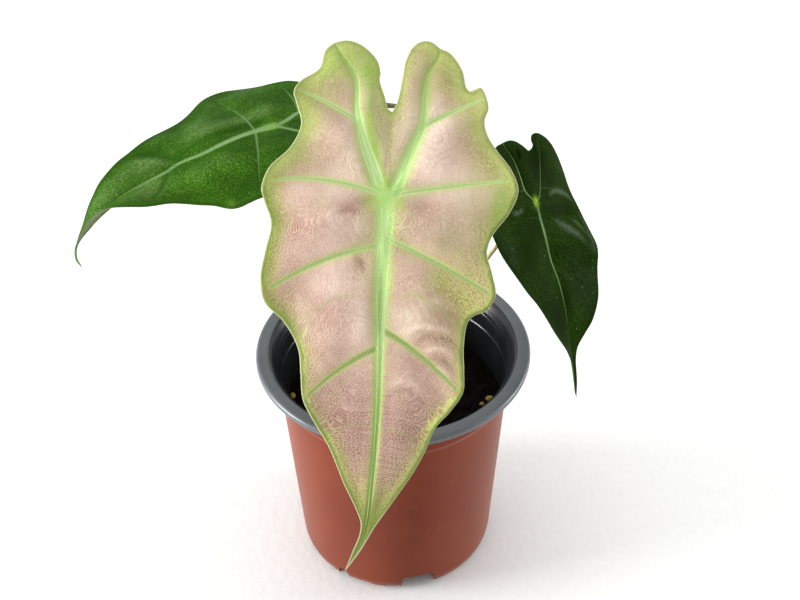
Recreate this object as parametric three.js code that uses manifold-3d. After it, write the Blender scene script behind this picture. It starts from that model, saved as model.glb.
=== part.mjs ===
// A young arrow-leaved aroid with three leaves in a small nursery pot.
// Millimetres, +Z up, -Y the front.  Everything is drawn with the pot's axis on the Z axis and its
// feet on z = 0, then moved sideways as one so that the whole stands centred over the origin.
import * as THREE from "three";
import { mergeVertices } from "three/addons/utils/BufferGeometryUtils.js";
import Module from "manifold-3d";

const wasm = await Module();
wasm.setup();

// Pot: one thin thermoformed cup with a turned-down rim, standing on a hollow foot with cuts in it.
const POT_SEGMENTS = 60;
const POT_HEIGHT = 112;
const RIM_RADIUS = 60;
const RIM_INNER_RADIUS = 54.8;
const SKIRT_BOTTOM = 108.6;
const WALL = 0.9;
const WALL_RADIUS_LOW = 44.6;
const WALL_RADIUS_HIGH = 51.4;
const WALL_LOW_Z = 6;
const WALL_HIGH_Z = 107;
const OUTER_RING_Z = 95;
const INNER_STEP_Z = 105;
const INNER_RING_Z = 88;
const BASE_UNDERSIDE = 10;
const BASE_TOP = BASE_UNDERSIDE + WALL;
const FOOT_INNER_RADIUS = 36.6;
const FOOT_OUTER_RADIUS = 41.2;
// Cuts that leave the feet, three times round: centre (degrees right of the front), width, height.
const FOOT_CUTS = [[12.5, 20, 9.6], [26, 7, 2.6], [-34.5, 7, 7.2], [-23.5, 15, 2.4], [53, 13, 2.4]];
const FOOT_REPEATS = 3;
const DRAINS = 6;
const DRAIN_RADIUS = 3.5;
const DRAIN_CIRCLE = 26;

// Potting mix: fills the cup and its hollow foot, to about 32 mm below the rim.
const SOIL_TOP = 80;
const SOIL_GAP = 0.3;
const SOIL_SEGMENTS = 36;
const SOIL_RINGS = 7;
const SOIL_ROUGHNESS = 1.6;

// Blades: sheet thickness and the height of the veins that stand proud of the underside.
const SHEET = 0.8;
const MIDRIB_HEIGHT = 1.5;
const LATERAL_HEIGHT = 0.6;
const ACROSS = [0, 0.07, 0.22, 0.42, 0.62, 0.82, 1];
const VEIN_FLANK = 1.6;
const MARGIN_STEP = 6.5;
const SEAT = 0.35;

// Each blade is drawn flat first: x across (plus is the left half seen along the heading), s along
// the midrib from the petiole's seat towards the tip.  "slope" is how steeply the midrib falls,
// "roll" turns the blade about it, "fold" lifts one half and "arch" lets that half droop.
// A vein is [place on the spine, place along the margin list, bow towards the base].  Places on
// the spine are millimetres along the midrib, or minus millimetres along the basal vein.
const FRONT_LEAF = {
  seat: [-1.9, -30, 212.6],
  heading: -95,
  slope: [[-70, 36], [-30, 41], [0, 46], [60, 56], [110, 63], [150, 68]],
  roll: [[-70, 0], [150, 0]],
  foldRight: [[-70, 0], [150, 0]],
  foldLeft: [[-70, 0], [150, 0]],
  archRight: 0,
  archLeft: 0,
  puff: 1.9,
  wave: 1.0,
  midrib: [[0, 0], [0.6, 7], [0.5, 17], [0.4, 50], [0, 86], [-1.6, 112], [-3, 126], [-5.8, 137], [-11.5, 147.5]],
  sinus: [1.5, -32.5],
  right: {
    outer: [
      [-11.5, 147.5], [-8.4, 138.5], [-5.8, 131.5], [-5.2, 126.5], [-7, 121], [-12, 110.5], [-18, 96],
      [-24, 86], [-28, 78], [-29.2, 68.5], [-30.5, 59], [-36, 49], [-43.5, 41.5], [-45.5, 33],
      [-44, 21], [-42.5, 11.5], [-45.5, 3], [-46.5, -1.5], [-44, -9.5], [-36.5, -18], [-33, -27],
      [-35, -34.5], [-36.4, -39.3], [-34, -44], [-27.3, -49.4], [-25.4, -56.7], [-22, -60],
    ],
    inner: [[-22, -60], [-17, -61], [-11.3, -59], [-5.2, -53], [-3.7, -48], [-3.8, -45], [-1.5, -38.3], [0, -33.7]],
    basal: [[0, 0], [-5, -11.7], [-8.5, -20.4], [-10.6, -27.8], [-12, -33.7], [-12.3, -40.4], [-13, -45.2], [-15.9, -50.4], [-19.3, -55.2], [-22, -60]],
    veins: [[57, 8, 2.2], [19, 12.4, 3.2], [0, 17.3, 3.6], [-30.5, 22.3, 0.8]],
  },
  left: {
    outer: [
      [-11.5, 147.5], [-5, 137.5], [0, 128], [7, 117], [14.2, 105.5], [18.5, 97], [22.4, 87], [28, 80],
      [32.4, 72.5], [32.5, 65], [32, 55.5], [33.2, 46.3], [35.5, 43.7], [39.8, 41.7], [43.2, 36],
      [41.4, 27], [39.4, 20], [41.2, 13.5], [47.4, 4.6], [50.2, -3.5], [47.5, -11], [41.5, -19],
      [38, -24.7], [36.6, -30], [37.9, -35.1], [34.5, -43], [31.5, -41.2], [29.3, -43], [27.5, -49.7],
      [22.6, -56.6], [18.6, -58.6],
    ],
    inner: [[18.6, -58.6], [15, -61.2], [11.4, -61.3], [8.2, -59], [5.6, -53], [4.8, -46.4], [3.2, -36.4]],
    basal: [[0, 0], [6.6, -9], [9.8, -17.9], [12.8, -26.2], [13.6, -32.8], [13.5, -40.4], [14.6, -48], [17.6, -53.8], [18.6, -58.6]],
    veins: [[50, 7.8, 2.4], [16, 13.9, 1.2], [0, 19.5, 0.6], [-30, 24.4, 0.6]],
  },
};

const LEFT_LEAF = {
  seat: [-44.7, 12, 217.9],
  heading: 206,
  slope: [[-66, -30], [-50, -15], [-38, 0], [0, -3], [28, 12], [62, 19], [95, 55], [107, 62]],
  roll: [[-60, -4], [0, -2.5], [95, 0]],
  foldRight: [[-62, -40], [-47, -36], [-33, -10], [-22, 2], [0, 0], [33, 0], [76, 18], [98, 0]],
  foldLeft: [[-60, 0], [-33, 0], [0, 1], [33, -7], [58, 0], [76, 42], [90, 38], [98, 0]],
  archRight: 0.0021,
  archLeft: 0.0035,
  puff: 1.3,
  wave: 0.4,
  midrib: [[0, 0], [-0.4, 8.6], [0.5, 23], [0.7, 32], [-0.4, 42], [0.5, 48], [0.4, 64], [0, 80], [0.1, 89], [1.7, 94], [5.1, 96.8], [10.2, 96.6], [14, 95.6]],
  sinus: [0, -21],
  right: {
    outer: [
      [14, 95.6], [10, 97.1], [4.8, 97.6], [0.7, 94.8], [-1.4, 90.5], [-3.2, 86], [-6.6, 80], [-8.7, 76], [-11.2, 72], [-13.5, 67],
      [-16, 61.4], [-17.7, 56.5], [-22.2, 47], [-24.8, 39.7], [-27, 32.4], [-29.4, 27], [-35.5, 18.5],
      [-37, 12.5], [-37, 7], [-36, 2.8], [-34.3, -2], [-32.3, -6], [-31, -11.5], [-29.6, -18], [-27, -23],
      [-24, -31], [-21, -39], [-18, -47], [-15, -54.5], [-12, -60], [-9, -63.5],
    ],
    inner: [[-9, -63.5], [-6.5, -61], [-6, -54], [-5, -44], [-3.5, -33]],
    basal: [[0, 0], [-2.6, -6], [-5.7, -12], [-9, -23], [-11, -36], [-11, -50], [-9, -63.5]],
    veins: [[43, 11.2, 1.5], [8.6, 16.2, 2.5], [-14, 22.2, 1.5]],
  },
  left: {
    outer: [
      [14, 95.6], [10.3, 96], [5.4, 96.1], [2.5, 93.2], [2.4, 89.5], [5.2, 85], [8.6, 79.5], [11.6, 74], [14, 69.5], [14.8, 64], [15.2, 58.6],
      [16.5, 53], [19, 48.5], [22.5, 43.5], [26, 38.4], [28.5, 36], [30.7, 33.5], [32, 30], [32.4, 26],
      [33, 21], [34.6, 14], [35.6, 7], [35.2, 0], [33.5, -7], [31, -14], [28, -21.5], [24, -28.5],
      [19.5, -34], [14.5, -37],
    ],
    inner: [[14.5, -37], [9.5, -36], [6, -31.5], [3, -26]],
    basal: [[0, 0], [3, -3.5], [6.4, -7.5], [9.6, -17], [12, -27], [14.5, -37]],
    veins: [[46, 9.6, 1.2], [8.6, 18.8, 1], [-12, 23.8, 1.5]],
  },
};

const RIGHT_LEAF = {
  seat: [60.3, 8, 181.2],
  heading: -61,
  slope: [[-60, 40], [-40, 42], [0, 61], [27, 54], [58, 71], [89, 79], [100, 80]],
  roll: [[-60, -18], [0, -19], [89, -21]],
  foldRight: [[-60, 14], [-31, 13], [0, -5], [31, 10], [71, 30], [100, 30]],
  foldLeft: [[-60, 4], [-31, 3], [0, -9], [31, 12], [71, 16], [100, 16]],
  archRight: 0.0014,
  archLeft: 0.001,
  puff: 1.5,
  wave: 0.6,
  midrib: [[0, 0], [0.3, 13], [-0.6, 25], [0.2, 33], [0, 47], [-0.4, 62], [0, 75], [0.3, 88.5]],
  sinus: [3.6, -21.6],
  right: {
    outer: [
      [0.3, 88.5], [-0.8, 81], [-1.3, 75], [-2.6, 70], [-4.7, 66.8], [-8.6, 61], [-16.5, 50.2],
      [-21.7, 37.5], [-25, 30.5], [-26, 17], [-27.3, 6.2], [-28, -3], [-26.8, -12], [-23, -21],
      [-17.2, -26.5], [-12, -27.5],
    ],
    inner: [[-12, -27.5], [-8.8, -27.8], [-5, -27.6], [-1, -26.1], [1.9, -23.6]],
    basal: [[0, 0], [-4.6, -6.6], [-5.6, -13], [-7.4, -20], [-12, -27.5]],
    veins: [[25.5, 8, 1], [6.5, 10.1, 2.4], [-8, 11.9, 1]],
  },
  left: {
    outer: [
      [0.3, 88.5], [1.2, 81], [1.4, 75], [1.7, 70], [3.3, 65], [7.8, 60.5], [12.7, 56], [18.2, 46.3],
      [22.4, 33.5], [26, 26], [27.4, 21], [28, 13.5], [28, 6], [27.2, -4.5], [24.8, -11.5],
      [21.6, -17.5], [18.8, -21.7], [15.8, -25], [12.8, -27.3],
    ],
    inner: [[12.8, -27.3], [10.4, -27.9], [8.2, -27.3], [7.2, -25.4], [7.4, -23.4], [5.8, -22]],
    basal: [[0, 0], [3.4, -2.2], [5.8, -6], [7.8, -11], [9.4, -16], [11, -21.6], [12.8, -27.3]],
    veins: [[25.5, 6.7, 2.5], [6.5, 8.4, 3], [-7.5, 11.9, 2]],
  },
};

// Petioles: round stalks that widen to a sheathing foot in the mix.  Each goes through the listed
// points, then turns square to the blade under its seat.
const FRONT_PETIOLE = {
  path: [[-1, -5, 62], [-1, -5, 84], [-0.5, -3, 122], [-0.8, -5, 166], [-1.6, -15, 195]],
  topRadius: 1.2,
};
const LEFT_PETIOLE = {
  path: [[-6.4, 3.2, 62], [-7, 3.6, 84], [-15, 6, 130], [-29, 9.5, 180], [-40, 11.6, 204]],
  topRadius: 1,
};
const RIGHT_PETIOLE = {
  path: [[5, 2.4, 62], [5.8, 2.8, 84], [17, 5, 112], [34, 8.5, 141], [50, 13, 165]],
  topRadius: 0.9,
};
const FOOT_RADIUS = 3;
const PETIOLE_SIDES = 10;
const PETIOLE_RINGS = 22;
const PETIOLE_FOOT_Z = 62;
const HOLE_GAP = 0.3;

// Slow-release feed granules lying on the mix: place, half-axes, turn.
const GRANULES = [
  { name: "granule_left", at: [-46, 2.6], radii: [1.4, 2, 1.4], turn: 12 },
  { name: "granule_right", at: [43, -1.8], radii: [2.1, 1.5, 1.4], turn: 30 },
  { name: "granule_right_small", at: [39.4, -4.9], radii: [1.3, 1, 0.9], turn: -20 },
];

const COLOURS = {
  terracotta: [0x8f4a38, 0.5],
  mix: [0x1d1512, 0.95],
  stalk: [0x8d8a55, 0.6],
  pinkBlade: [0xcfae9c, 0.5],
  greenBlade: [0x3c7026, 0.45],
  darkBlade: [0x1f3a18, 0.4],
  granule: [0xc39a3c, 0.6],
};

const root = new THREE.Group();
root.name = "potted_aroid";
const plant = new THREE.Group();
root.add(plant);

function add(name, geometry, [colour, roughness]) {
  const material = new THREE.MeshStandardMaterial({ color: colour, roughness, metalness: 0 });
  const mesh = new THREE.Mesh(geometry, material);
  mesh.name = name;
  plant.add(mesh);
}

function solid(geometry) {
  const bare = new THREE.BufferGeometry().setAttribute("position", (geometry.index ? geometry.toNonIndexed() : geometry).getAttribute("position"));
  const merged = mergeVertices(bare, 1e-3);
  return new wasm.Manifold(
    new wasm.Mesh({ numProp: 3, vertProperties: merged.attributes.position.array, triVerts: new Uint32Array(merged.index.array) }),
  );
}

function geometryOf(manifold) {
  const mesh = manifold.getMesh();
  return new THREE.BufferGeometry()
    .setAttribute("position", new THREE.BufferAttribute(new Float32Array(mesh.vertProperties), 3))
    .setIndex(new THREE.BufferAttribute(new Uint32Array(mesh.triVerts), 1));
}

function turned(profile, segments) {
  const geometry = new THREE.LatheGeometry(profile.map(([r, z]) => new THREE.Vector2(r, z)), segments);
  return geometry.rotateX(Math.PI / 2);
}

const wallRadius = (z) =>
  WALL_RADIUS_LOW + ((WALL_RADIUS_HIGH - WALL_RADIUS_LOW) * (z - WALL_LOW_Z)) / (WALL_HIGH_Z - WALL_LOW_Z);

// Blocks that fill the cuts of the foot, each face "grow" further out.
function footBlocks(grow) {
  const [inner, outer] = [FOOT_INNER_RADIUS - 3 - grow, FOOT_OUTER_RADIUS + 6];
  const block = (at, degrees, height) => {
    const half = THREE.MathUtils.degToRad(degrees / 2);
    const reach = (radius) => radius * Math.tan(half) + grow / Math.cos(half);
    const shape = new THREE.Shape([
      new THREE.Vector2(-reach(inner), -inner),
      new THREE.Vector2(-reach(outer), -outer),
      new THREE.Vector2(reach(outer), -outer),
      new THREE.Vector2(reach(inner), -inner),
    ]);
    return solid(
      new THREE.ExtrudeGeometry(shape, { depth: height + grow + 1, bevelEnabled: false })
        .translate(0, 0, -1)
        .rotateZ(THREE.MathUtils.degToRad(at)),
    );
  };
  const blocks = [];
  for (let i = 0; i < FOOT_REPEATS; i++)
    for (const [at, degrees, height] of FOOT_CUTS) blocks.push(block(at + (360 / FOOT_REPEATS) * i, degrees, height));
  return wasm.Manifold.union(blocks);
}

function pot() {
  const w = wallRadius;
  const outside = [
    [0, BASE_UNDERSIDE], [FOOT_INNER_RADIUS - 1.6, BASE_UNDERSIDE], [FOOT_INNER_RADIUS, 0], [FOOT_OUTER_RADIUS, 0],
    [FOOT_OUTER_RADIUS + 1.5, 1], [FOOT_OUTER_RADIUS + 2.6, 3], [w(WALL_LOW_Z), WALL_LOW_Z],
    [w(OUTER_RING_Z), OUTER_RING_Z], [w(OUTER_RING_Z + 1) + 0.5, OUTER_RING_Z + 1.4], [w(WALL_HIGH_Z) + 0.3, WALL_HIGH_Z],
    [52.6, WALL_HIGH_Z + 2.3], [54.3, POT_HEIGHT - 1.2], [RIM_RADIUS - 1.7, POT_HEIGHT - 1.1],
    [RIM_RADIUS - 1.2, SKIRT_BOTTOM + 0.4], [RIM_RADIUS - 0.6, SKIRT_BOTTOM], [RIM_RADIUS, SKIRT_BOTTOM + 0.5],
    [RIM_RADIUS, POT_HEIGHT - 1], [RIM_RADIUS - 0.9, POT_HEIGHT], [0, POT_HEIGHT],
  ];
  const inside = [
    [0, BASE_TOP], [FOOT_INNER_RADIUS - 1.6 + WALL, BASE_TOP], [FOOT_INNER_RADIUS + WALL, WALL], [FOOT_OUTER_RADIUS - 0.3, WALL],
    [FOOT_OUTER_RADIUS + 1.7, 3.2], [w(WALL_LOW_Z) - WALL, WALL_LOW_Z],
    [w(INNER_RING_Z) - WALL - 0.2, INNER_RING_Z - 0.7], [w(INNER_RING_Z) - WALL + 0.3, INNER_RING_Z],
    [w(INNER_STEP_Z) - WALL, INNER_STEP_Z], [w(INNER_STEP_Z) - WALL + 0.6, INNER_STEP_Z + 1],
    [52, POT_HEIGHT - 2.4], [53.4, POT_HEIGHT - 0.6], [RIM_INNER_RADIUS, POT_HEIGHT],
    [RIM_INNER_RADIUS, POT_HEIGHT + 1], [0, POT_HEIGHT + 1],
  ];
  let cavity = solid(turned(inside, POT_SEGMENTS)).subtract(footBlocks(WALL));
  for (let i = 0; i < DRAINS; i++) {
    const angle = ((i + 0.5) / DRAINS) * 2 * Math.PI;
    const drain = new THREE.CylinderGeometry(DRAIN_RADIUS, DRAIN_RADIUS, 4 * WALL, 16)
      .rotateX(Math.PI / 2)
      .translate(DRAIN_CIRCLE * Math.cos(angle), DRAIN_CIRCLE * Math.sin(angle), BASE_TOP - WALL / 2);
    cavity = cavity.add(solid(drain));
  }
  return geometryOf(solid(turned(outside, POT_SEGMENTS)).subtract(footBlocks(0)).subtract(cavity));
}

// Height of the mix: gently mounded towards the stalks, with lumps.
function soilHeight(x, y) {
  const r = Math.hypot(x, y);
  const mound = 2.2 * Math.cos((Math.PI * Math.min(r, 48)) / 96);
  const lumps = Math.sin(0.31 * x + 1.3) * Math.cos(0.27 * y - 0.4) + 0.6 * Math.sin(0.53 * x - 0.61 * y + 2) + 0.4 * Math.cos(0.83 * x + 0.47 * y);
  return SOIL_TOP - 1.5 + mound + 0.5 * SOIL_ROUGHNESS * lumps;
}

// The mix, a little smaller than the cup's inside.
function soil() {
  const gap = WALL + SOIL_GAP;
  const position = [];
  const index = [];
  const point = (x, y, z) => position.push(x, y, z) / 3 - 1;
  const ringAt = (radius, height) =>
    Array.from({ length: SOIL_SEGMENTS }, (_, k) => {
      const a = (k / SOIL_SEGMENTS) * 2 * Math.PI;
      const [x, y] = [radius * Math.cos(a), radius * Math.sin(a)];
      return point(x, y, height(x, y));
    });
  const edge = wallRadius(SOIL_TOP - 3) - gap;
  const rings = [];
  for (let i = 1; i <= SOIL_RINGS; i++) rings.push(ringAt((edge * i) / SOIL_RINGS, soilHeight));
  rings.push(ringAt(wallRadius(WALL_LOW_Z) - gap, () => WALL_LOW_Z));
  rings.push(ringAt(FOOT_OUTER_RADIUS - 0.5, () => gap));
  rings.push(ringAt(FOOT_INNER_RADIUS + gap + 0.2, () => gap));
  rings.push(ringAt(FOOT_INNER_RADIUS - 1.6 + gap, () => BASE_TOP + SOIL_GAP));
  const top = point(0, 0, soilHeight(0, 0));
  const bottom = point(0, 0, BASE_TOP + SOIL_GAP);
  for (let k = 0; k < SOIL_SEGMENTS; k++) {
    const n = (k + 1) % SOIL_SEGMENTS;
    index.push(top, rings[0][k], rings[0][n]);
    for (let i = 0; i + 1 < rings.length; i++) {
      const [a, b] = [rings[i], rings[i + 1]];
      index.push(a[k], b[k], b[n], a[k], b[n], a[n]);
    }
    const last = rings.at(-1);
    index.push(bottom, last[n], last[k]);
  }
  const filled = new THREE.BufferGeometry()
    .setAttribute("position", new THREE.Float32BufferAttribute(position, 3))
    .setIndex(index);
  return solid(filled).subtract(footBlocks(gap));
}

// A smooth value through [place, value] pairs, level beyond the ends.
function through(pairs, q) {
  const last = pairs.length - 1;
  if (q <= pairs[0][0]) return pairs[0][1];
  if (q >= pairs[last][0]) return pairs[last][1];
  let i = 0;
  while (q > pairs[i + 1][0]) i++;
  const steepness = (k) => (k === 0 || k === last ? 0 : (pairs[k + 1][1] - pairs[k - 1][1]) / (pairs[k + 1][0] - pairs[k - 1][0]));
  const h = pairs[i + 1][0] - pairs[i][0];
  const t = (q - pairs[i][0]) / h;
  return (
    (2 * t ** 3 - 3 * t ** 2 + 1) * pairs[i][1] +
    (t ** 3 - 2 * t ** 2 + t) * h * steepness(i) +
    (3 * t ** 2 - 2 * t ** 3) * pairs[i + 1][1] +
    (t ** 3 - t ** 2) * h * steepness(i + 1)
  );
}

// Returns the function that carries a flat point (x, s), lifted z off the sheet, into space.
function placer(leaf) {
  const FROM = -90;
  const TO = 180;
  const radians = THREE.MathUtils.degToRad;
  const heading = radians(leaf.heading);
  const forward = (s) => {
    const a = radians(through(leaf.slope, s));
    return new THREE.Vector3(Math.cos(a) * Math.cos(heading), Math.cos(a) * Math.sin(heading), -Math.sin(a));
  };
  const line = [new THREE.Vector3()];
  for (let s = FROM; s < TO; s++) line.push(line.at(-1).clone().addScaledVector(forward(s).add(forward(s + 1)), 0.5));
  const shift = new THREE.Vector3(...leaf.seat).sub(line[-FROM]);
  line.forEach((p) => p.add(shift));
  return (x, s, z = 0) => {
    const k = Math.min(Math.max(Math.floor(s - FROM), 0), line.length - 2);
    const middle = line[k].clone().lerp(line[k + 1], s - FROM - k);
    const along = forward(s);
    const across = new THREE.Vector3(-Math.sin(heading), Math.cos(heading), 0);
    const up = along.clone().cross(across);
    const roll = radians(through(leaf.roll, s));
    const fold = radians(through(x < 0 ? leaf.foldRight : leaf.foldLeft, s));
    const turn = x < 0 ? roll - fold : roll + fold;
    const out = across.clone().multiplyScalar(Math.cos(turn)).addScaledVector(up, Math.sin(turn));
    const normal = up.multiplyScalar(Math.cos(turn)).addScaledVector(across, -Math.sin(turn));
    const arch = x < 0 ? leaf.archRight : leaf.archLeft;
    return middle.addScaledVector(out, x).addScaledVector(normal, z - arch * x * x);
  };
}

const curveThrough = (points) => {
  const curve = new THREE.CatmullRomCurve3(points.map(([x, s]) => new THREE.Vector3(x, s, 0)));
  return (place) => curve.getPoint(THREE.MathUtils.clamp(place / (points.length - 1), 0, 1));
};

// One half of a blade as strips between the spine (midrib, then basal vein) and the margin.
function halfBlade(leaf, side) {
  const { outer, inner, basal, veins } = leaf[side];
  const lengths = [0];
  for (let i = 1; i < basal.length; i++)
    lengths.push(lengths[i - 1] + Math.hypot(basal[i][0] - basal[i - 1][0], basal[i][1] - basal[i - 1][1]));
  const basalLength = lengths.at(-1);
  const basalCurve = curveThrough(basal);
  const midribPoint = curveThrough(leaf.midrib);
  const placeIn = (list, value) => {
    let i = 0;
    while (i < list.length - 2 && value > list[i + 1]) i++;
    return i + (value - list[i]) / (list[i + 1] - list[i]);
  };
  const stops = midribStops(leaf.midrib);
  const spine = (d) => (d >= 0 ? midribPoint(placeIn(stops, Math.min(d, tipDistance(leaf)))) : basalCurve(placeIn(lengths, -d)));
  const rows = [[tipDistance(leaf), 0, 0], ...veins, [-basalLength, outer.length - 1, 0]];
  return { basalLength, spine, rows, outerCurve: curveThrough(outer), innerCurve: curveThrough([...inner, leaf.sinus]), inner };
}

// Distances from the seat of the midrib's own points.
function midribStops(midrib) {
  const stops = [0];
  for (let i = 1; i < midrib.length; i++)
    stops.push(stops[i - 1] + Math.hypot(midrib[i][0] - midrib[i - 1][0], midrib[i][1] - midrib[i - 1][1]));
  return stops;
}
const tipDistance = (leaf) => midribStops(leaf.midrib).at(-1);

// Where a spine place falls among the rows: the interval, the fraction of it, the margin place and bow.
function rowAt(half, d) {
  const { rows } = half;
  let i = 0;
  while (i < rows.length - 2 && d < rows[i + 1][0]) i++;
  const f = THREE.MathUtils.clamp((rows[i][0] - d) / (rows[i][0] - rows[i + 1][0]), 0, 1);
  return {
    interval: i,
    fraction: f,
    margin: rows[i][1] + f * (rows[i + 1][1] - rows[i][1]),
    bow: rows[i][2] + f * (rows[i + 1][2] - rows[i][2]),
  };
}

// Spine places of one half: every vein, its two flanks, and enough between for the margin.
function samples(half) {
  const places = [];
  const { rows, outerCurve } = half;
  for (let i = 0; i + 1 < rows.length; i++) {
    const [from, to] = [rows[i][0], rows[i + 1][0]];
    let length = 0;
    for (let k = 0; k < 20; k++)
      length += outerCurve(rowAt(half, from + ((to - from) * k) / 20).margin).distanceTo(outerCurve(rowAt(half, from + ((to - from) * (k + 1)) / 20).margin));
    const flank = VEIN_FLANK / Math.max(length, from - to);
    const inner = Math.max(1, Math.round(length / MARGIN_STEP) - 1);
    const fractions = [0];
    if (i > 0) fractions.push(flank);
    for (let k = 1; k <= inner; k++) fractions.push(flank + ((1 - 2 * flank) * k) / (inner + 1));
    fractions.push(1 - flank);
    fractions.forEach((f) => places.push(from + (to - from) * f));
  }
  places.push(rows.at(-1)[0]);
  return places;
}

// Merges two lists of midrib places so that both halves share the same ones.
function shared(a, b) {
  const all = [...a, ...b].filter((d) => d >= 0).sort((p, q) => q - p);
  return all.filter((d, i) => i === 0 || all[i - 1] - d > 1e-6);
}

function blade(leaf) {
  const place = placer(leaf);
  const halves = { right: halfBlade(leaf, "right"), left: halfBlade(leaf, "left") };
  const picked = { right: samples(halves.right), left: samples(halves.left) };
  const midribPlaces = thin(shared(picked.right, picked.left), [...halves.right.rows, ...halves.left.rows].map((r) => r[0]));
  const flat = new Map();
  const vertices = [];
  const faces = [];
  const vertex = (x, s, z, drop) => {
    const key = x.toFixed(3) + "," + s.toFixed(3);
    if (!flat.has(key)) {
      flat.set(key, vertices.length);
      vertices.push([x, s, z, drop]);
    }
    return flat.get(key);
  };
  const grid = (rowsOfPoints, flip) => {
    for (let i = 0; i + 1 < rowsOfPoints.length; i++)
      for (let j = 0; j + 1 < ACROSS.length; j++) {
        const [a, b, c, d] = [rowsOfPoints[i][j], rowsOfPoints[i + 1][j], rowsOfPoints[i + 1][j + 1], rowsOfPoints[i][j + 1]];
        const pair = (i + j) % 2 ? [[a, b, c], [a, c, d]] : [[a, b, d], [b, c, d]];
        for (const t of pair) {
          if (t[0] === t[1] || t[1] === t[2] || t[2] === t[0]) continue;
          faces.push(flip ? [t[0], t[2], t[1]] : t);
        }
      }
  };
  const tip = tipDistance(leaf);
  const spineHeight = (d, half) => (d >= 0 ? MIDRIB_HEIGHT * (1 - d / tip) : MIDRIB_HEIGHT * (1 + (0.8 * d) / half.basalLength));

  for (const side of ["right", "left"]) {
    const half = halves[side];
    const basalPlaces = picked[side].filter((d) => d < 0);
    const row = (d, start, end, bow, relief) =>
      ACROSS.map((v) => {
        const x = start.x + (end.x - start.x) * v;
        const s = start.y + (end.y - start.y) * v - bow * 4 * v * (1 - v);
        const { z, rib } = relief(v);
        const spineRib = v === 0 ? spineHeight(d, half) : v === ACROSS[1] ? 0.25 * spineHeight(d, half) : 0;
        return vertex(x, s, z, SHEET + Math.max(spineRib, rib));
      });
    const outerRow = (d) => {
      const at = rowAt(half, d);
      const start = half.spine(d);
      const end = half.outerCurve(at.margin);
      const width = Math.abs(end.x - start.x);
      const onVein = half.rows.slice(1, -1).some((r) => Math.abs(r[0] - d) < 1e-6);
      return row(d, start, end, at.bow * Math.min(1, width / 20), (v) => {
        const puff = leaf.puff * Math.min(1, width / 30) * Math.sin(Math.PI * at.fraction) ** 1.2 * Math.sin(Math.PI * v ** 0.85);
        const wave = leaf.wave * Math.min(1, width / 30) * Math.cos(2 * Math.PI * at.fraction) * v ** 3;
        return { z: v === 0 ? 0 : puff + wave, rib: onVein ? LATERAL_HEIGHT * (1 - v) : 0 };
      });
    };
    const innerEnd = half.inner.length;
    const innerRow = (d) => {
      const f = -d / half.basalLength;
      const start = half.spine(d);
      const end = d === 0 ? new THREE.Vector3(...leaf.sinus, 0) : half.innerCurve(innerEnd * (1 - f));
      return row(d, start, end, 0, (v) => ({
        z: v === 0 ? 0 : 0.5 * leaf.puff * Math.sin(Math.PI * f) * Math.sin(Math.PI * v),
        rib: 0,
      }));
    };
    const places = [...midribPlaces, ...basalPlaces];
    if (!midribPlaces.includes(0)) places.splice(midribPlaces.length, 0, 0);
    grid(places.map(outerRow), side === "left");
    grid([0, ...basalPlaces].map(innerRow), side === "right");
  }
  return sheet(vertices, faces, place);
}

// Drops places that crowd another one, keeping those that a vein starts from.
function thin(places, kept) {
  const isKept = (d) => kept.some((k) => Math.abs(k - d) < 1e-6);
  const out = [];
  for (const d of places) {
    const previous = out.at(-1);
    if (previous !== undefined && previous - d < 0.9) {
      if (isKept(d) && !isKept(previous)) out[out.length - 1] = d;
      else if (isKept(d)) out.push(d);
      continue;
    }
    out.push(d);
  }
  return out;
}

// Closes the sheet: an upper face, a like lower face under it, and the narrow rim between them.
function sheet(vertices, faces, place) {
  const count = vertices.length;
  const position = [];
  for (const [x, s, z] of vertices) position.push(...place(x, s, z));
  for (const [x, s, z, drop] of vertices) position.push(...place(x, s, z - drop));
  const index = [];
  const edges = new Map();
  for (const [a, b, c] of faces) {
    index.push(a, b, c, a + count, c + count, b + count);
    for (const [p, q] of [[a, b], [b, c], [c, a]]) {
      if (edges.has(q + "," + p)) edges.delete(q + "," + p);
      else edges.set(p + "," + q, [p, q]);
    }
  }
  for (const [p, q] of edges.values()) index.push(q, p, p + count, q, p + count, q + count);
  return new THREE.BufferGeometry()
    .setAttribute("position", new THREE.Float32BufferAttribute(position, 3))
    .setIndex(index);
}

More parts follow.
